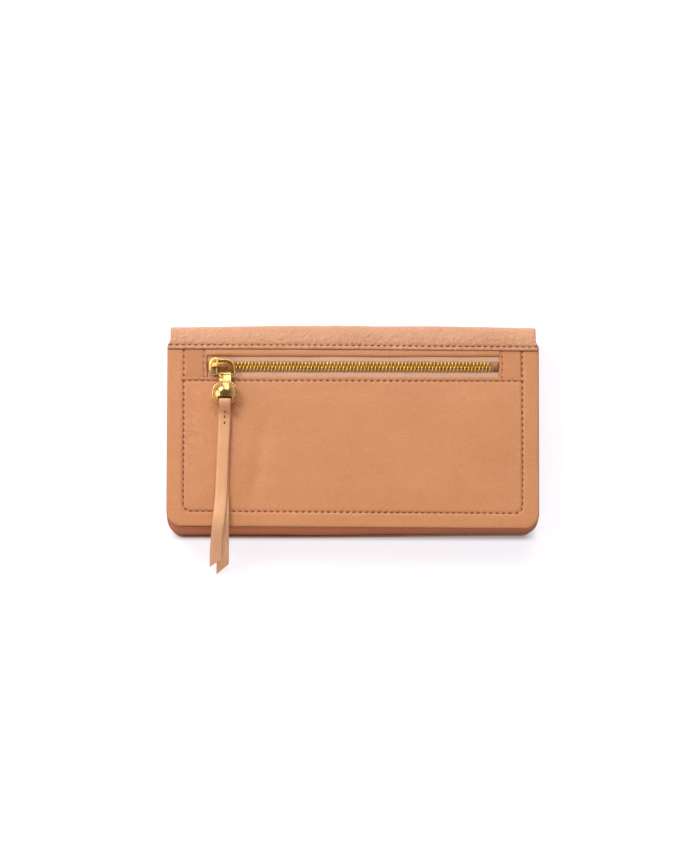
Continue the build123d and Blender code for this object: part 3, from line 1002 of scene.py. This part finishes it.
flapValues = {
    "hemHalf": 98.1 * mm,
    "foldHalf": 96.7 * mm,
    "hemLift": 0.75 * mm,
    "thick": 1.2 * mm,
    "roll": 0.8 * mm,
    "bow": 0.9 * mm,
    "corner": 8.0 * mm,
    "stitch": 2.3 * mm,
    "stitchHalf": 96.6 * mm,
    "groove": 0.55 * mm,
    "grooveWidth": 0.7 * mm,
    "turned": 2.3 * mm,
    "endTilt": 1.3 * mm,
    "hemTilt": 0.7 * mm,
    "swells": ((26 * mm, 0.3 * mm, 7.0), (6 * mm, 0.1 * mm, 9.0)),  # size, height and seed
    "hemWave": 0.12 * mm,
    "threadLift": 0.1 * mm,
}
flatTop = foldCentreY - hemLow[1]
bend = math.pi / 2 * foldRadius
upright = top - 2 * foldRadius
flatLow = foldCentreY - flapLow[1]
midFold = flatTop + bend + upright / 2
foldEnd = flatTop + 2 * bend + upright + flatLow
leafStart = foldEnd - flatLow


def foldPoint(travel):
    # place and outward direction on the outside of the flap, measured from the hem
    if travel <= flatTop:
        return hemLow[1] + travel, top, 0.0, 1.0
    travel -= flatTop
    if travel <= bend:
        angle = travel / foldRadius
        return (foldCentreY + foldRadius * math.sin(angle),
                top - foldRadius + foldRadius * math.cos(angle), math.sin(angle), math.cos(angle))
    travel -= bend
    if travel <= upright:
        return foldOuterY, top - foldRadius - travel, 1.0, 0.0
    travel -= upright
    if travel <= bend:
        angle = math.pi / 2 + travel / foldRadius
        return (foldCentreY + foldRadius * math.sin(angle),
                foldRadius + foldRadius * math.cos(angle), math.sin(angle), math.cos(angle))
    return foldCentreY - (travel - bend), 0.0, 0.0, -1.0


def flapHalf(travel):
    values = flapValues
    return values["hemHalf"] + (values["foldHalf"] - values["hemHalf"]) * soft(travel, 2.0 * mm, 5.5 * mm)


def endLift(x):
    # the free edges of the closed wallet don't lie quite parallel
    return soft(x, -40 * mm, 96 * mm)


def flapSurface(x, travel, depth, rise):
    y, z, outY, outZ = foldPoint(travel)
    y += flapValues["endTilt"] * endLift(x) * soft(travel, foldEnd - 40 * mm, foldEnd)
    y -= flapValues["hemTilt"] * endLift(x) * (1 - soft(travel, 4 * mm, 12 * mm))
    bow = flapValues["bow"] * (x / flapValues["foldHalf"]) ** 2
    y -= bow * soft(travel, 3 * mm, 16 * mm) * (1 - soft(travel, 32 * mm, 60 * mm))
    shift = rise - depth
    return x, y + outY * shift, z + outZ * shift


def flapRise(x, travel):
    # the hem lies over the panel's edge, and the leather swells softly over the fold
    values = flapValues
    folded = soft(travel, 4 * mm, 12 * mm) * (1 - soft(travel, leafStart - 6 * mm, leafStart))
    rise = values["hemLift"] * (1 - soft(travel, 4 * mm, 10 * mm))
    for size, height, seed in values["swells"]:
        rise += ripple(x, travel, size, seed) * height * folded
    rise += ripple(x, travel, 20 * mm, 8.0) * values["hemWave"] * (1 - soft(travel, 4 * mm, 10 * mm))
    if abs(x) < values["stitchHalf"] + 1 * mm:
        rise -= dent(abs(travel - values["stitch"]), x + values["stitchHalf"], threadValues["pitch"],
                     values["groove"], values["grooveWidth"])
    return rise


def makeFlapPart(name, start, end, blended, *nodes):
    values = flapValues
    half = values["hemHalf"]
    across = spread(-half, half, 0.95 * mm, (-half, half))
    marks = (start, end, values["stitch"]) if start == 0 else (start, end)
    along = spread(start, min(end, leafStart), 0.85 * mm, marks)
    if end > leafStart:
        along += spread(leafStart, end, 3.0 * mm, (end,))[1:]

    def spot(u, v):
        wide = flapHalf(v)
        if end == foldEnd:
            wide -= narrowing(foldEnd - v, 0.0, 1.0, values["corner"])
        return u * wide / half, wide

    # painted shade along the flap's edges, the dark line under the hem's edge among them
    def edge(u, v):
        x, wide = spot(u, v)
        near = wide - abs(x)
        if start == 0:
            near = min(near, v)
        if end == foldEnd:
            near = min(near, cornered(x, foldEnd - v, flapHalf(v), 0.0, 1.0, values["corner"]))
        return near

    def outer(u, v):
        x = spot(u, v)[0]
        return flapSurface(x, v, rolled(edge(u, v), values["roll"]), flapRise(x, v))

    def inner(u, v):
        # the edge is turned over twice on the leaf, so it is thicker than the rest
        x = spot(u, v)[0]
        turned = 1 - soft(edge(u, v), 1.6 * mm, 2.4 * mm)
        turned *= soft(v, leafStart, leafStart + 6 * mm)
        depth = values["thick"] + (values["turned"] - values["thick"]) * turned
        depth -= 0.5 * mm * (1 - soft(edge(u, v), 0.0, 0.6 * mm)) * turned
        return flapSurface(x, v, depth, min(flapRise(x, v), values["hemLift"]) * 0.5)

    part = shell(name, across, along, outer, inner, leatherBandLit, edge)
    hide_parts(*nodes)
    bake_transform(part)


backTurn = (0.0, foldCentreY - 2 * mm, top)
midTurn = (0.0, foldOuterY, top / 2)
flapTurn = (0.0, foldCentreY - 2 * mm, 0.0)
overBack = ("back", "spine", backTurn, midTurn)
overFlap = ("spine", "flap", midTurn, flapTurn)
makeFlapPart("flapTopLeather", 0.0, midFold, overBack, "flap_hem", "flap_spine")
makeFlapPart("flapFrontLeather", midFold, foldEnd, overFlap, "flap_outer")


def hemStitches(values):
    travel, half, count = values["stitch"], values["stitchHalf"], 190
    route = []
    for number in range(count + 1):
        x = -half + 2 * half * number / count
        route.append(flapSurface(x, travel, 0.0, flapRise(x, travel) + values["threadLift"]))
    stitches = stitchLine("hemStitches", [route], threadValues["pitch"], threadBar, 5)
    stand(stitches, "back", "thread")


hemStitches(flapValues)


spineLiningValues = {"gap": 0.08 * mm, "thick": 0.45 * mm, "inset": 2.2 * mm}


def makeSpineLining(name, first, last, blended, values, *nodes):
    # the cloth inside the fold, from one leaf's lining to the other's
    half = flapValues["foldHalf"] - values["inset"]
    across = spread(-half, half, 3.0 * mm, (-half, half), (0.3,))
    along = spread(first, last, 1.2 * mm, (first, last), (0.2,))

    def skin(depth):
        return lambda u, v: flapSurface(u, v, depth, ripple(u, v, 18 * mm, 3.0) * 0.04 * mm)

    gap = flapValues["thick"] + values["gap"]
    lining = shell(name, across, along, skin(gap), skin(gap + values["thick"]), liningCloth)
    if nodes:
        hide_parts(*nodes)
    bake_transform(lining)


makeSpineLining("spineLiningBack", flatTop - 3 * mm, midFold, overBack, spineLiningValues, "spine_lining")
makeSpineLining("spineLiningFlap", midFold, leafStart + 4 * mm, overFlap, spineLiningValues)
print("flap leather made")


# zip window

weltValues = {"under": 1.6 * mm, "ends": 0.8 * mm, "roll": 1.35 * mm, "wave": 0.35 * mm}


def makeWelt(values):
    low, high = weltLow[1], weltHigh[1] + values["under"]
    half = weltHigh[0] + values["ends"]
    across = spread(-half, half, 1.5 * mm, (-half, half), (0.3,))
    along = spread(low, high, 0.45 * mm, (low,), (0.1, 0.25, 0.45))

    def wavy(u, v):
        return v + ripple(u, 0.0, 30 * mm, 11.0) * values["wave"] * (1 - soft(v, low, high))

    def outer(u, v):
        height = weltHigh[2] + 0.12 * mm - rolled(v - low, values["roll"])
        height += ripple(u, v, 12 * mm, 12.0) * 0.08 * mm
        return u, wavy(u, v), height - 0.3 * mm * soft(v, high - 3 * mm, high - 1 * mm)

    def inner(u, v):
        return u, wavy(u, v), weltLow[2] - 0.05 * mm

    # painted shade along the welt's front lip
    welt = shell("upperWeltLeather", across, along, outer, inner, leatherMain, lambda u, v: v - low)
    stand(welt, "back", "tan_leather", "upper_welt")


def tabTop(x, y):
    return tabHigh[2] + ripple(x, y, 9 * mm, 15.0) * 0.08 * mm


tabValues = {
    "tuck": 1.0 * mm, "lowTuck": 0.6 * mm, "stitchIn": 1.9 * mm, "bow": 0.45 * mm, "roll": 0.6 * mm,
    "groove": 0.3 * mm, "grooveWidth": 0.6 * mm, "shadeLeft": 0.16, "shadeRight": 0.03,
}


def makeTab(name, node, side, values):
    # the end piece over the tapes, tucked in under the hem and the panel
    low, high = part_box(node)
    inX = low[0] if side > 0 else high[0]
    outX = (high[0] if side > 0 else low[0]) + side * values["tuck"]
    first, last = sorted((inX, outX))
    stitchX = inX + side * values["stitchIn"]
    upper = high[1] + values["tuck"]
    lower = low[1] - values["lowTuck"]
    across = spread(first, last, 0.8 * mm, (inX, stitchX), (0.15, 0.35, 0.6))
    along = spread(lower, upper, 0.7 * mm)

    def bowed(u, v):
        # the inner edge gives way a little round the slider
        middle = math.cos(math.pi * (v - (lower + upper) / 2) / (upper - lower))
        near = 1 - soft(abs(u - inX), 0.0, 5 * mm)
        return u + side * values["bow"] * middle * near

    def outer(u, v):
        drop = rolled(abs(u - inX), values["roll"])
        drop += dent(abs(u - stitchX), v - lower, threadValues["pitch"], values["groove"],
                     values["grooveWidth"])
        return bowed(u, v), v, tabTop(u, v) - drop

    def inner(u, v):
        return bowed(u, v), v, low[2] - 0.02 * mm

    # painted shade over the whole tab, deeper on the left tab, and along its inner edge
    def edge(u, v):
        shade = values["shadeLeft"] if side < 0 else values["shadeRight"]
        return min(abs(u - inX), -rimShadeWidth * math.log(shade))

    tab = shell(name, across, along, outer, inner, leatherMain, edge)
    stand(tab, "back", "tan_leather", node)
    route = line((stitchX, upper - 1.2 * mm), (stitchX, lower + 0.9 * mm), tabTop, 0.04 * mm)
    route = [(bowed(x, y), y, z) for x, y, z in route]
    stitches = stitchLine(name + "Stitches", [route], 3.2 * mm, fineBar, 8)
    stand(stitches, "back", "thread")


def makeTape(name, node, body, inner, outer, waves):
    # woven tape, its bead hidden in the teeth
    low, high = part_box(node)
    first, last = sorted((inner, outer))
    across = spread(low[0], high[0], 1.6 * mm, (low[0], high[0]), (0.3,))
    along = spread(first, last, 0.8 * mm, (first, last), (0.2,))

    def skin(z):
        return lambda u, v: (u, v, z + ripple(u, v, 14 * mm, 21.0) * waves)

    def edge(u, v):
        # painted shade on the tape beside the teeth
        return 0.12 * mm + 4.0 * rimShadeWidth * soft(abs(v - inner), 2.4 * mm, 3.6 * mm)

    tape = shell(name, across, along, skin(high[2]), skin(low[2]), tapeCloth, edge)
    stand(tape, body, "zip_tape", node)


makeWelt(weltValues)
makeTab("zipTabLeftLeather", "zip_tab_left", -1, tabValues)
makeTab("zipTabRightLeather", "zip_tab_right", 1, tabValues)
tapeValues = {
    "gap": 0.12 * mm, "waves": 0.12 * mm, "upperEnd": hemLow[1] - 0.3 * mm, "lowerEnd": zipY - 9.6 * mm,
}
for name, node, inner, outer in (
    ("zipTapeUpper", "zip_tape_upper", zipY + tapeValues["gap"], tapeValues["upperEnd"]),
    ("zipTapeLower", "zip_tape_lower", zipY - tapeValues["gap"], tapeValues["lowerEnd"]),
):
    makeTape(name, node, "back", inner, outer, tapeValues["waves"])


def toothShape(name, length, width, height):
    # a stamped tooth: two legs that grip the tape, a waist, and a cupped head
    outline = [(-0.5, 0.0), (0.5, 0.0), (0.5, 0.42), (0.34, 0.55), (0.46, 0.74), (0.36, 0.96),
               (0.0, 1.0), (-0.36, 0.96), (-0.46, 0.74), (-0.34, 0.55), (-0.5, 0.42)]
    levels = ((-0.5, 0.72), (-0.36, 1.0), (0.36, 1.0), (0.5, 0.72))
    points = []
    for level, scale in levels:
        for x, y in outline:
            run = 0.5 + (y - 0.5) * (0.4 + 0.6 * scale)
            points.append((x * width * scale, run * length, level * height))
    rings, count = len(levels) - 1, len(outline)
    mesh = bpy.data.meshes.new(name)
    mesh.from_pydata(points, [], ringFaces(rings, count) + capFaces(rings, count))
    return makeObject(name, mesh)


def makeChain(name, nodes, body, pitch, tooth):
    # the upper row's teeth point down, and the lower row's point up
    for node, turn, label in zip(nodes, (math.pi, 0.0), ("Upper", "Lower")):
        low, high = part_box(node)
        root = high[1] if turn else low[1]  # where the teeth grip the tape
        count = round((high[0] - low[0] - 0.8 * mm) / pitch) + 1
        source = makeObject(name + label + "Route", bpy.data.meshes.new(name + label + "Route"))
        start = (low[0] + 0.4 * mm, root, (low[2] + high[2]) / 2)
        settings = {"Count": count, "Pitch": pitch, "Start": start, "Tooth": tooth,
                    "Turn": turn, "Material": brassTeeth}
        stand(settled(source, name + label, toothTree, toothKeys, settings), body, "brass", node)


chainValues = {
    "pitch": 1.89 * mm,
    "backTooth": (3.2 * mm, 1.08 * mm, 2.1 * mm),  # length, width and height
    "coinTooth": (3.15 * mm, 0.9 * mm, 1.7 * mm),
}
pitch = chainValues["pitch"]
backTooth = toothShape("backTooth", *chainValues["backTooth"])
coinTooth = toothShape("coinTooth", *chainValues["coinTooth"])
makeChain("backTeeth", ("zip_teeth_upper", "zip_teeth_lower"), "back", pitch, backTooth)
makeChain("coinTeeth", ("coin_teeth_upper", "coin_teeth_lower"), "divider", pitch, coinTooth)
print("zip made")


# inner leaves

leafWaves = {"size": 46 * mm, "height": 0.1 * mm}
leafTrims = {
    "front_panel": 1.9 * mm, "front_lining": 0.9 * mm, "pocket_lining_front": 1.4 * mm,
    "back_inner_lining": 1.4 * mm,
}


def leafWave(x, y):
    return ripple(x, y, leafWaves["size"], 31.0) * leafWaves["height"]


def leafBox(node):
    # a leaf that ends behind the bottom strip is cut a little short of it
    low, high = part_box(node)
    return (low[0], low[1] + leafTrims.get(node, 0.0), low[2]), high


def softLeaf(name, node, body, slotName, material, lowCorner, highCorner):
    # a thin leaf with eased edges, which shares its gentle wave with its neighbours
    low, high = leafBox(node)
    half, middle = (high[0] - low[0]) / 2, (high[0] + low[0]) / 2
    ease = (high[2] - low[2]) * 0.48
    near = (0.08, 0.2, 0.4, 1.0)
    across = spread(-half, half, 4.0 * mm, (-half, half), near)
    along = spread(low[1], high[1], 4.0 * mm, (low[1], high[1]), near)

    def skin(z, side):
        def place(u, v):
            x = u * (half - narrowing(v, low[1], high[1], lowCorner * mm, highCorner * mm)) / half
            edge = cornered(x, v, half, low[1], high[1], lowCorner * mm, highCorner * mm)
            return x + middle, v, z - side * rolled(edge, ease) + leafWave(x, v)
        return place

    leaf = shell(name, across, along, skin(high[2], 1), skin(low[2], -1), material)
    stand(leaf, body, slotName, node)


# the last two are the radii of the lower and the upper corners, in millimetres
leaves = (
    ("flapBoard", "flap_board", "flap", "board", boardGrey, 6, 0),
    ("flapLining", "flap_lining", "flap", "lining_cloth", liningCloth, 7, 0),
    ("flapSlot1", "flap_card_slot_1", "flap", "slot_leather", leatherSlot, 1.5, 2),
    ("flapSlot2", "flap_card_slot_2", "flap", "slot_leather", leatherSlot, 1.5, 2),
    ("flapSlot3", "flap_card_slot_3", "flap", "slot_leather", leatherSlot, 1.5, 2),
    ("pocketLiningRear", "pocket_lining_rear", "back", "lining_cloth", liningCloth, 3, 0),
    ("pocketLiningFront", "pocket_lining_front", "back", "lining_cloth", liningCloth, 7.5, 0),
    ("backInnerLining", "back_inner_lining", "back", "lining_cloth", liningCloth, 7.5, 0),
    ("frontPanelLeather", "front_panel", "front", "tan_leather", leatherMain, 7.5, 3),
    ("frontLining", "front_lining", "front", "lining_cloth", liningCloth, 6.5, 3),
    ("cardSlot1", "card_slot_1", "front", "slot_leather", leatherSlot, 1.5, 2),
    ("cardSlot2", "card_slot_2", "front", "slot_leather", leatherSlot, 1.5, 2),
    ("cardSlot3", "card_slot_3", "front", "slot_leather", leatherSlot, 1.5, 2),
    ("cardSlot4", "card_slot_4", "front", "slot_leather", leatherSlot, 1.5, 2),
    ("coinWallFront", "coin_wall_front", "divider", "lining_cloth", liningCloth, 6, 0),
    ("coinWallRear", "coin_wall_rear", "divider", "lining_cloth", liningCloth, 6, 0),
    ("coinBindingLeather", "coin_binding", "divider", "slot_leather", leatherSlot, 0.5, 0.5),
)
for name, node, body, slotName, material, lowCorner, highCorner in leaves:
    softLeaf(name, node, body, slotName, material, lowCorner, highCorner)

beadReach = 1.5 * mm  # how far the coin zip's tapes run in between its teeth
coinUpper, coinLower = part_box("coin_tape_upper"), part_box("coin_tape_lower")
makeTape("coinTapeUpper", "coin_tape_upper", "divider", coinUpper[0][1] - beadReach, coinUpper[1][1], 0.0)
makeTape("coinTapeLower", "coin_tape_lower", "divider", coinLower[1][1] + beadReach, coinLower[0][1], 0.0)


def slotStitches(name, nodes, body, upward):
    # a run under each slot's mouth, and one down the middle of all of them
    routes = []
    for node in nodes:
        low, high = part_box(node)
        z = high[2] if upward else low[2]
        surface = lambda x, y, z=z: z + leafWave(x, y)
        mouth = high[1] - 1.6 * mm
        routes.append(line((low[0] + 3 * mm, mouth), (high[0] - 3 * mm, mouth), surface))
    routes.append(line((0.0, high[1] - 3 * mm), (0.0, low[1] + 2 * mm), surface))
    stitches = stitchLine(name, routes, 3.0 * mm, fineBar, 12)
    stand(stitches, body, "thread")


def rimStitches(name, node, body, upward, inset, corner):
    low, high = leafBox(node)
    z = high[2] if upward else low[2]
    half = high[0] - inset
    base = low[1] + inset

    def surface(x, y):
        return z + leafWave(x, y)

    route = roundedRoute(half, base, high[1] - 2 * mm, corner, 8, surface)
    stitches = stitchLine(name, [route], threadValues["pitch"], threadBar, 14)
    stand(stitches, body, "thread")


slotStitches("flapSlotStitches", ("flap_card_slot_1", "flap_card_slot_2", "flap_card_slot_3"), "flap", True)
slotStitches("cardSlotStitches", ("card_slot_1", "card_slot_2", "card_slot_3", "card_slot_4"), "front", False)
rimStitches("flapRimStitches", "flap_lining", "flap", True, 1.4 * mm, 6 * mm)
rimStitches("frontRimStitches", "front_panel", "front", False, 2.2 * mm, 6 * mm)
print("inner leaves made")


# sides and bottom

gussetValues = {
    "waist": 88.6 * mm, "depth": 7.4 * mm, "thick": 0.7 * mm, "folds": 2, "tuck": 2.2 * mm,
    "waves": 0.3 * mm, "inset": 0.3 * mm,
}


def makeGusset(name, node, side, values):
    low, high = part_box(node)
    heights = spread(0.0, 1.0, 0.02)
    along = spread(low[1], high[1], 3.0 * mm, (low[1], high[1]), (0.3,))
    middleX, inset = values["waist"] + values["depth"] / 2, values["inset"]

    def pleat(share):
        turn = 2 * math.pi * values["folds"] * share
        return middleX - values["depth"] / 2 * math.cos(turn)

    def skin(offset):
        def place(share, v):
            slope = pleat(share + 0.001) - pleat(share - 0.001)
            fall = -(high[2] - low[2]) * 0.002
            long = math.hypot(slope, fall)
            x = pleat(share) - fall / long * offset
            z = high[2] - inset - (high[2] - low[2] - 2 * inset) * share + slope / long * offset
            x += ripple(v, share * 0.02, 20 * mm, 41.0) * values["waves"]
            # the pleats draw in behind the strip's rounded corner
            x -= values["tuck"] * soft(x, middleX, 96 * mm) * (1 - soft(v, low[1], low[1] + 7 * mm))
            return side * x, v, z
        return place

    gusset = shell(name, heights, along, skin(values["thick"] / 2), skin(-values["thick"] / 2), leatherMain)
    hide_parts(node)
    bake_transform(gusset)


makeGusset("gussetLeftLeather", "gusset_left", -1, gussetValues)
makeGusset("gussetRightLeather", "gusset_right", 1, gussetValues)


bottomValues = {
    "corner": 7.7 * mm, "half": 97.6 * mm, "low": -54.35 * mm, "bulge": 0.55 * mm, "thick": 0.45 * mm,
    "reach": 87.0, "lowZ": 3.2 * mm, "tilt": 0.75 * mm, "waves": 0.18 * mm,
}


def makeBottom(values):
    # the strip that closes the bottom, carried a little way round both corners
    corner = values["corner"]
    straight = values["half"] - corner
    arc = math.radians(values["reach"]) * corner
    across = spread(-straight - arc, straight + arc, 1.2 * mm)
    heights = spread(0.0, 1.0, 0.045)
    bottomZ, topZ = values["lowZ"], panelLow[2]

    def skin(depth):
        def place(travel, share):
            out = values["bulge"] * soft(share, 0.0, 0.25) * (1 - 0.4 * soft(share, 0.8, 1.0)) - depth
            out += ripple(travel, share * 0.01, 22 * mm, 51.0) * values["waves"]
            z = topZ + (bottomZ - topZ) * share
            over = abs(travel) - straight
            low = values["low"] + values["tilt"] * endLift(travel)
            if over <= 0:
                return travel, low - out, z
            angle = over / corner
            side = math.copysign(1.0, travel)
            x = straight + (corner + out) * math.sin(angle)
            return side * x, low + corner - (corner + out) * math.cos(angle), z
        return place

    def edge(travel, share):
        # in shade under the panel and again near the table, most of all towards the right
        shade = max(0.8 * math.exp(-share / 0.035), 0.62 * soft(share, 0.4, 1.0))
        lift = endLift(travel)
        shade = shade * (0.66 + 0.34 * lift) + 0.36 * lift * (1 - shade)
        return -rimShadeWidth * math.log(shade + 0.01)

    bottom = shell("bottomLeather", across, heights, skin(0.0), skin(values["thick"]), leatherSideShaded, edge)
    stand(bottom, "back", "tan_leather", "bottom_gusset")


makeBottom(bottomValues)


edgeBoardValues = {
    "wide": 5.0 * mm, "near": -46 * mm, "far": 38 * mm, "bottomHalf": 89 * mm, "roll": 0.4 * mm,
}


def makeEdgeBoards(values):
    # three stiff strips under the panel's margins
    low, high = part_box("back_edge_boards")
    wide, half = values["wide"], values["bottomHalf"]
    places = (
        ("edgeBoardLeft", low[0], low[0] + wide, values["near"], values["far"]),
        ("edgeBoardRight", high[0] - wide, high[0], values["near"], values["far"]),
        ("edgeBoardBottom", -half, half, low[1], low[1] + wide),
    )
    for name, left, right, near, far in places:
        across = spread(left, right, 3.0 * mm, (left, right), (0.2, 0.5))
        along = spread(near, far, 3.0 * mm, (near, far), (0.2, 0.5))

        def skin(z, side, left=left, right=right, near=near, far=far):
            def place(u, v):
                edge = min(u - left, right - u, v - near, far - v)
                return u, v, z - side * rolled(edge, values["roll"])
            return place

        board = shell(name, across, along, skin(high[2], 1), skin(low[2], -1), boardGrey)
        stand(board, "back", "board", "back_edge_boards")


makeEdgeBoards(edgeBoardValues)
print("sides and bottom made")


# metal parts from the frame

def polished(name, node, body, width, material, scales):
    # the frame's own shape with its sharp edges eased
    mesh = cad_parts[node].data.copy()
    mesh.name = name
    made = bmesh.new()
    made.from_mesh(mesh)
    low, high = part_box(node)
    for vert in made.verts:
        for axis in (0, 1):
            middle = (low[axis] + high[axis]) / 2
            vert.co[axis] = middle + (vert.co[axis] - middle) * scales[axis]
    bmesh.ops.remove_doubles(made, verts=made.verts, dist=0.000002)
    bmesh.ops.dissolve_limit(made, angle_limit=math.radians(1.0), verts=made.verts, edges=made.edges)
    inner = [edge for edge in made.edges if len(edge.link_faces) == 2]
    sharp = [edge for edge in inner if edge.calc_face_angle() > math.radians(32)]
    bmesh.ops.bevel(made, geom=sharp, offset=width, segments=3, profile=0.5, affect="EDGES",
                    clamp_overlap=True)
    bmesh.ops.triangulate(made, faces=[face for face in made.faces if len(face.verts) > 4])
    bmesh.ops.recalc_face_normals(made, faces=made.faces)
    made.to_mesh(mesh)
    made.free()
    mesh.materials.clear()
    mesh.materials.append(material)
    shadeSmooth(mesh)
    mesh.set_sharp_from_angle(angle=math.radians(40))
    stand(makeObject(name, mesh), body, "brass", node)


def stacked(outline, centre, levels):
    # one closed solid from an outline repeated at several heights and sizes
    points = []
    for height, scale in levels:
        for x, y in outline:
            points.append((centre[0] + x * scale * mm, centre[1] + y * scale * mm, height * mm))
    rings, count = len(levels) - 1, len(outline)
    return points, ringFaces(rings, count) + capFaces(rings, count)


def makeSlider():
    # a broad shoulder at the closed end, narrowing towards the teeth, over a plain lower plate
    # side is an outline in millimetres; upper and lower are heights and the outline's size at each
    low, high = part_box("zip_slider")
    centre = ((low[0] + high[0]) / 2, (low[1] + high[1]) / 2)
    side = ((-7.15, 1.2), (-6.9, 2.6), (-6.1, 4.0), (-4.9, 4.9), (-3.7, 5.0), (-1.8, 4.55), (1.6, 3.8),
            (4.6, 3.3), (6.2, 2.7), (7.0, 1.7))
    outline = [(x, -y) for x, y in side] + [(x, y) for x, y in reversed(side)]
    upper = ((23.75, 0.95), (23.95, 1.0), (24.5, 1.0), (24.8, 0.96), (25.0, 0.87), (25.12, 0.7),
             (25.15, 0.35))
    lower = ((20.6, 0.93), (20.8, 1.0), (21.3, 1.0), (21.45, 0.96))
    points, faces = stacked(outline, centre, upper)
    more, moreFaces = stacked(outline, centre, lower)
    faces += [tuple(index + len(points) for index in face) for face in moreFaces]
    mesh = bpy.data.meshes.new("sliderBody")
    mesh.from_pydata(points + more, [], faces)
    mesh.materials.append(brassSatin)
    shadeSmooth(mesh)
    stand(makeObject("sliderBody", mesh), "slider", "brass", "zip_slider")


ballRimValues = {"inset": 0.42 * mm, "thick": 0.45 * mm, "gap": 33.0}


def makeBallRim(values):
    # the raised lip round the charm, open where the lace passes; its pale brass is a painted reflection of
    # the bright room along the charm's edge
    low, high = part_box("ball_charm")
    centre = ((low[0] + high[0]) / 2, (low[1] + high[1]) / 2, (low[2] + high[2]) / 2)
    radius, fine = (high[0] - low[0]) / 2 - values["inset"], values["thick"]
    gap = math.radians(values["gap"])
    points = []
    steps, spokes = 60, 10
    for step in range(steps + 1):
        angle = -math.pi / 2 + gap + (2 * math.pi - 2 * gap) * step / steps
        for spoke in range(spokes):
            turn = 2 * math.pi * spoke / spokes
            reach = radius + fine * math.cos(turn)
            points.append((centre[0] + reach * math.cos(angle), centre[1] + reach * math.sin(angle),
                           centre[2] + fine * math.sin(turn)))
    mesh = bpy.data.meshes.new("ballRim")
    mesh.from_pydata(points, [], ringFaces(steps, spokes) + capFaces(steps, spokes))
    mesh.materials.append(brassReflectionPale)
    outward(mesh)
    shadeSmooth(mesh)
    stand(makeObject("ballRim", mesh), "ball", "brass")


makeSlider()
makeBallRim(ballRimValues)
plain, lens, wide = (1.0, 1.0), (0.945, 0.945), (1.5, 1.0)  # each shape's scale along X and Y
metalParts = (
    ("sliderBridge", "zip_slider_bridge", "slider", 0.22, brassSatin, plain),
    ("ballCharm", "ball_charm", "ball", 0.22, brassPolished, lens),
    ("charmNeck", "charm_loop", "ball", 0.2, brassPolished, plain),
    ("snapStud", "snap_stud", "flap", 0.15, brassPolished, plain),
    ("snapSocket", "snap_socket", "front", 0.15, brassPolished, plain),
    ("coinSliderBody", "coin_slider", "coin_slider", 0.2, brassPolished, plain),
    ("coinSliderBridge", "coin_slider_bridge", "coin_slider", 0.2, brassPolished, plain),
    ("coinPullTab", "coin_pull", "coin_pull", 0.15, brassPolished, plain),
    ("zipEndStop", "zip_bottom_stop", "back", 0.3, brassDark, wide),
    ("zipTopStops", "zip_top_stops", "back", 0.15, brassPolished, plain),
)
for name, node, body, width, material, scales in metalParts:
    polished(name, node, body, width * mm, material, scales)
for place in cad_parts["pull_ring"].material_slots:
    place.material = brassPolished
print("metal parts made")


# the shapes that the node trees copied aren't part of the wallet
for template in (threadBar, fineBar, knotBar, backTooth, coinTooth):
    bpy.data.objects.remove(template)


# floor

floorValues = {
    "size": 4.0, "drop": 0.1 * mm, "glow": 0.74, "open": (0.99, 0.965, 1.0), "shaded": (0.24, 0.21, 0.21),
}


def makeFloor(values):
    # pale paper that glows a little, but not under the wallet, where it lies in shade
    mesh = bpy.data.meshes.new("floor")
    size, z = values["size"], -values["drop"]
    corners = [(-size, -size, z), (size, -size, z), (size, size, z), (-size, size, z)]
    mesh.from_pydata(corners, [], [(0, 1, 2, 3)])
    paper = Finish("floorPaper")
    patches = paper.remap(paper.cloud(3.0), 0.3, 0.7, 0.0, 1.0)
    tone = paper.blend(patches, (0.46, 0.45, 0.475), (0.47, 0.46, 0.48))
    sideways = paper.node("ShaderNodeSeparateXYZ", {}, [paper.place()], "X")
    upward = paper.node("ShaderNodeSeparateXYZ", {}, [paper.place()], "Y")
    under = paper.remap(upward, -57.4 * mm, -55.0 * mm, 0.0, 1.0)
    under = under * paper.remap(upward, 40 * mm, 46 * mm, 1.0, 0.0)
    under = under * paper.remap(abs(sideways), 90 * mm, 98 * mm, 1.0, 0.0)
    mesh.materials.append(paper.surface({
        "Base Color": tone,
        "Roughness": 0.9,
        "Emission Color": paper.blend(under, values["open"], values["shaded"]),
        "Emission Strength": values["glow"],
    }))
    makeObject("floor", mesh)


makeFloor(floorValues)
